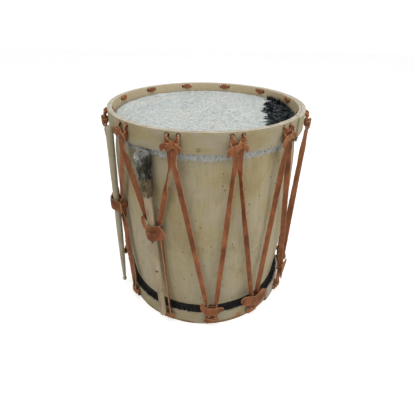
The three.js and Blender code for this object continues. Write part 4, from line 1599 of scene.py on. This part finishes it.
def make_mallet_head():
    core = []
    for index in range(27):
        share = index / 26
        core.append((MALLET_HEAD_BASE + share * MALLET_HEAD_LENGTH, 0.0142 * profile_at(HEAD_SHARES, share)))

    def lumps(along, turn):
        return 0.07 * round_noise(turn, 2.2, along * 90)

    piece = turned_piece("mallet_head_core", MALLET, core, 30, "black_skin", lumps)
    dress(piece, "mallet")
    rng = random.Random(5)
    strands = []
    for _ in range(9500):
        share = rng.random() ** 0.7
        turn = rng.uniform(0, 2 * math.pi)
        radius = 0.0140 * profile_at(HEAD_SHARES, share)
        out = Vector((math.cos(turn), math.sin(turn), 0))
        root = out * radius + UP * (MALLET_HEAD_BASE + share * MALLET_HEAD_LENGTH)
        crown = smooth((share - 0.8) / 0.2)
        tuft = flat_noise(out, 4.5, share * 4)
        way = out * mix(0.28 + 0.3 * tuft, 0.55, crown) + UP * mix(-1.0, 0.5, crown)
        way += Vector((rng.gauss(0, 0.22), rng.gauss(0, 0.22), rng.gauss(0, 0.2)))
        reach = rng.uniform(0.005, 0.0105) * mix(mix(0.75, 1, share), 0.4, crown)
        tip_tone = smooth((share - 0.83 - 0.05 * out.x) / 0.07)
        tone = clamped(rng.gauss(mix(0.3 + 0.7 * tuft, 1.0, tip_tone), 0.13))
        strands.append((
            MALLET.frame @ root, MALLET.turn @ way, reach, rng.uniform(0.0005, 0.001),
            MALLET.turn @ (-out * 0.0012), tone,
        ))
    dress(hair_mesh("mallet_head_fur", strands, "fur_hair"), "mallet", "mallet_head")


def make_wrap():
    """A ragged sleeve from the handle up over the head's foot, with a plain bore."""

    def ragged(along, turn):
        return 0.13 * round_noise(turn, 3, along * 55) + 0.06 * round_noise(turn, 8, along * 200) - 0.02

    def tongue(along, turn):
        base_share = 1 - smooth((along - MALLET_WRAP_BASE) / 0.018)
        return base_share * 0.006 * (round_noise(turn, 2.6, 4.0) + 0.1)

    segments = 48
    shares = [index / 23 for index in range(24)]
    sides = [(share, mix(0.0118, 0.0138, share), ragged) for share in shares]
    sides.extend((share, 0.0094, None) for share in reversed(shares))
    vertices = []
    for share, radius, uneven in sides:
        along = MALLET_WRAP_BASE + share * MALLET_WRAP_LENGTH
        vertices.extend(ring_points(MALLET, radius, along, segments, uneven, tongue))
    piece = make_piece("mallet_wrap_visual", vertices, ring_faces(len(sides), segments, True), ["binding"])
    dress(piece, "mallet", "mallet_wrap")


make_shell()
TOP_FINISHES = ["pale_hide", "white_skin", "black_skin"]
make_hide("top_head", TOP_HIDE_LEVEL, 1, UPPER_SKIRT_END, TOP_FINISHES)
make_hide("bottom_head", HEAD_DEPTH, -1, LOWER_SKIRT_END, ["black_skin", "black_skin"])
make_hair()
make_hoop("top_hoop", TOP_HOOP_BASE, TOP_LAP_START, TOP_TIES, TOP_HOLE_Z)
make_hoop("bottom_hoop", 0.0, BOTTOM_LAP_START, BOTTOM_TIES, BOTTOM_HOLE_Z)
for index in range(12):
    slider = Slider(index)
    make_lace(slider)
    make_slider(slider)
    for end, azimuth, height, lap_start, knotted, seed in (
        ("top", TOP_TIES[index], TOP_TIE_Z, TOP_LAP_START, False, 60),
        ("bottom", BOTTOM_TIES[index], BOTTOM_TIE_Z, BOTTOM_LAP_START, True, 90),
    ):
        seat = seat_radius(azimuth, lap_start)
        make_tie(f"{end}_tie_{slider.number}", azimuth, height, seat, knotted, seed + index)
make_stick()
make_handle()
make_mallet_head()
make_wrap()


# Floor, lamps and world
WHITE = (1, 1, 1, 1)
FLOOR_HALF = 6.0
FLOOR_Z = -0.0005
LAMPS = (
    ("key", (-0.9, -1.5, 2.4), 1.2, 15),
    ("fill", (2.2, -1.0, 1.3), 2.4, 21),
    ("top", (0.2, 0.2, 2.6), 2.0, 12),
)


def make_floor():
    f = Finish("floor", 0.9, 0.1)
    f.paint(colour(250, 250, 250))
    plain = f.shader.outputs[0]
    seen = f.nodes.new("ShaderNodeLightPath").outputs["Is Camera Ray"]
    glow = f.add("Emission", {"Color": WHITE, "Strength": 0.5})
    both = f.add("AddShader", {0: plain, 1: glow})
    pick = f.add("MixShader", {0: seen, 1: plain, 2: both})
    f.feed(f.nodes["Material Output"].inputs["Surface"], pick)
    corners = [(x * FLOOR_HALF, y * FLOOR_HALF, FLOOR_Z) for x, y in ((-1, -1), (1, -1), (1, 1), (-1, 1))]
    mesh = bpy.data.meshes.new("floor")
    mesh.from_pydata(corners, [], [(0, 1, 2, 3)])
    mesh.materials.append(f.material)
    add_object("floor", mesh)


def make_world():
    """A soft white light, seen as plain white by the camera, in gloss and through clear things."""
    world = bpy.data.worlds.new("studio")
    world.use_nodes = True
    bpy.context.scene.world = world
    sky = Nodes(world.node_tree)
    light = sky.nodes["Background"]
    sky.feed(light.inputs["Color"], WHITE)
    sky.feed(light.inputs["Strength"], 0.48)
    seen = sky.add("Background", {"Color": WHITE, "Strength": 1.0})
    rays = sky.nodes.new("ShaderNodeLightPath").outputs
    glossy = sky.add("Math", {0: rays["Is Camera Ray"], 1: rays["Is Glossy Ray"]}, 0, "MAXIMUM")
    clear = sky.add("Math", {0: glossy, 1: rays["Is Transmission Ray"]}, 0, "MAXIMUM")
    pick = sky.add("MixShader", {0: clear, 1: light.outputs[0], 2: seen})
    sky.feed(sky.nodes["World Output"].inputs["Surface"], pick)


def make_lamps():
    for name, spot, size, power in LAMPS:
        data = bpy.data.lights.new(name, "AREA")
        data.shape = "SQUARE"
        data.size = size
        data.energy = power
        lamp = add_object(name, data)
        lamp.location = spot
        aim = Vector((0, 0, 0.3)) - Vector(spot)
        lamp.rotation_euler = aim.to_track_quat("-Z", "Y").to_euler()


make_floor()
make_world()
make_lamps()
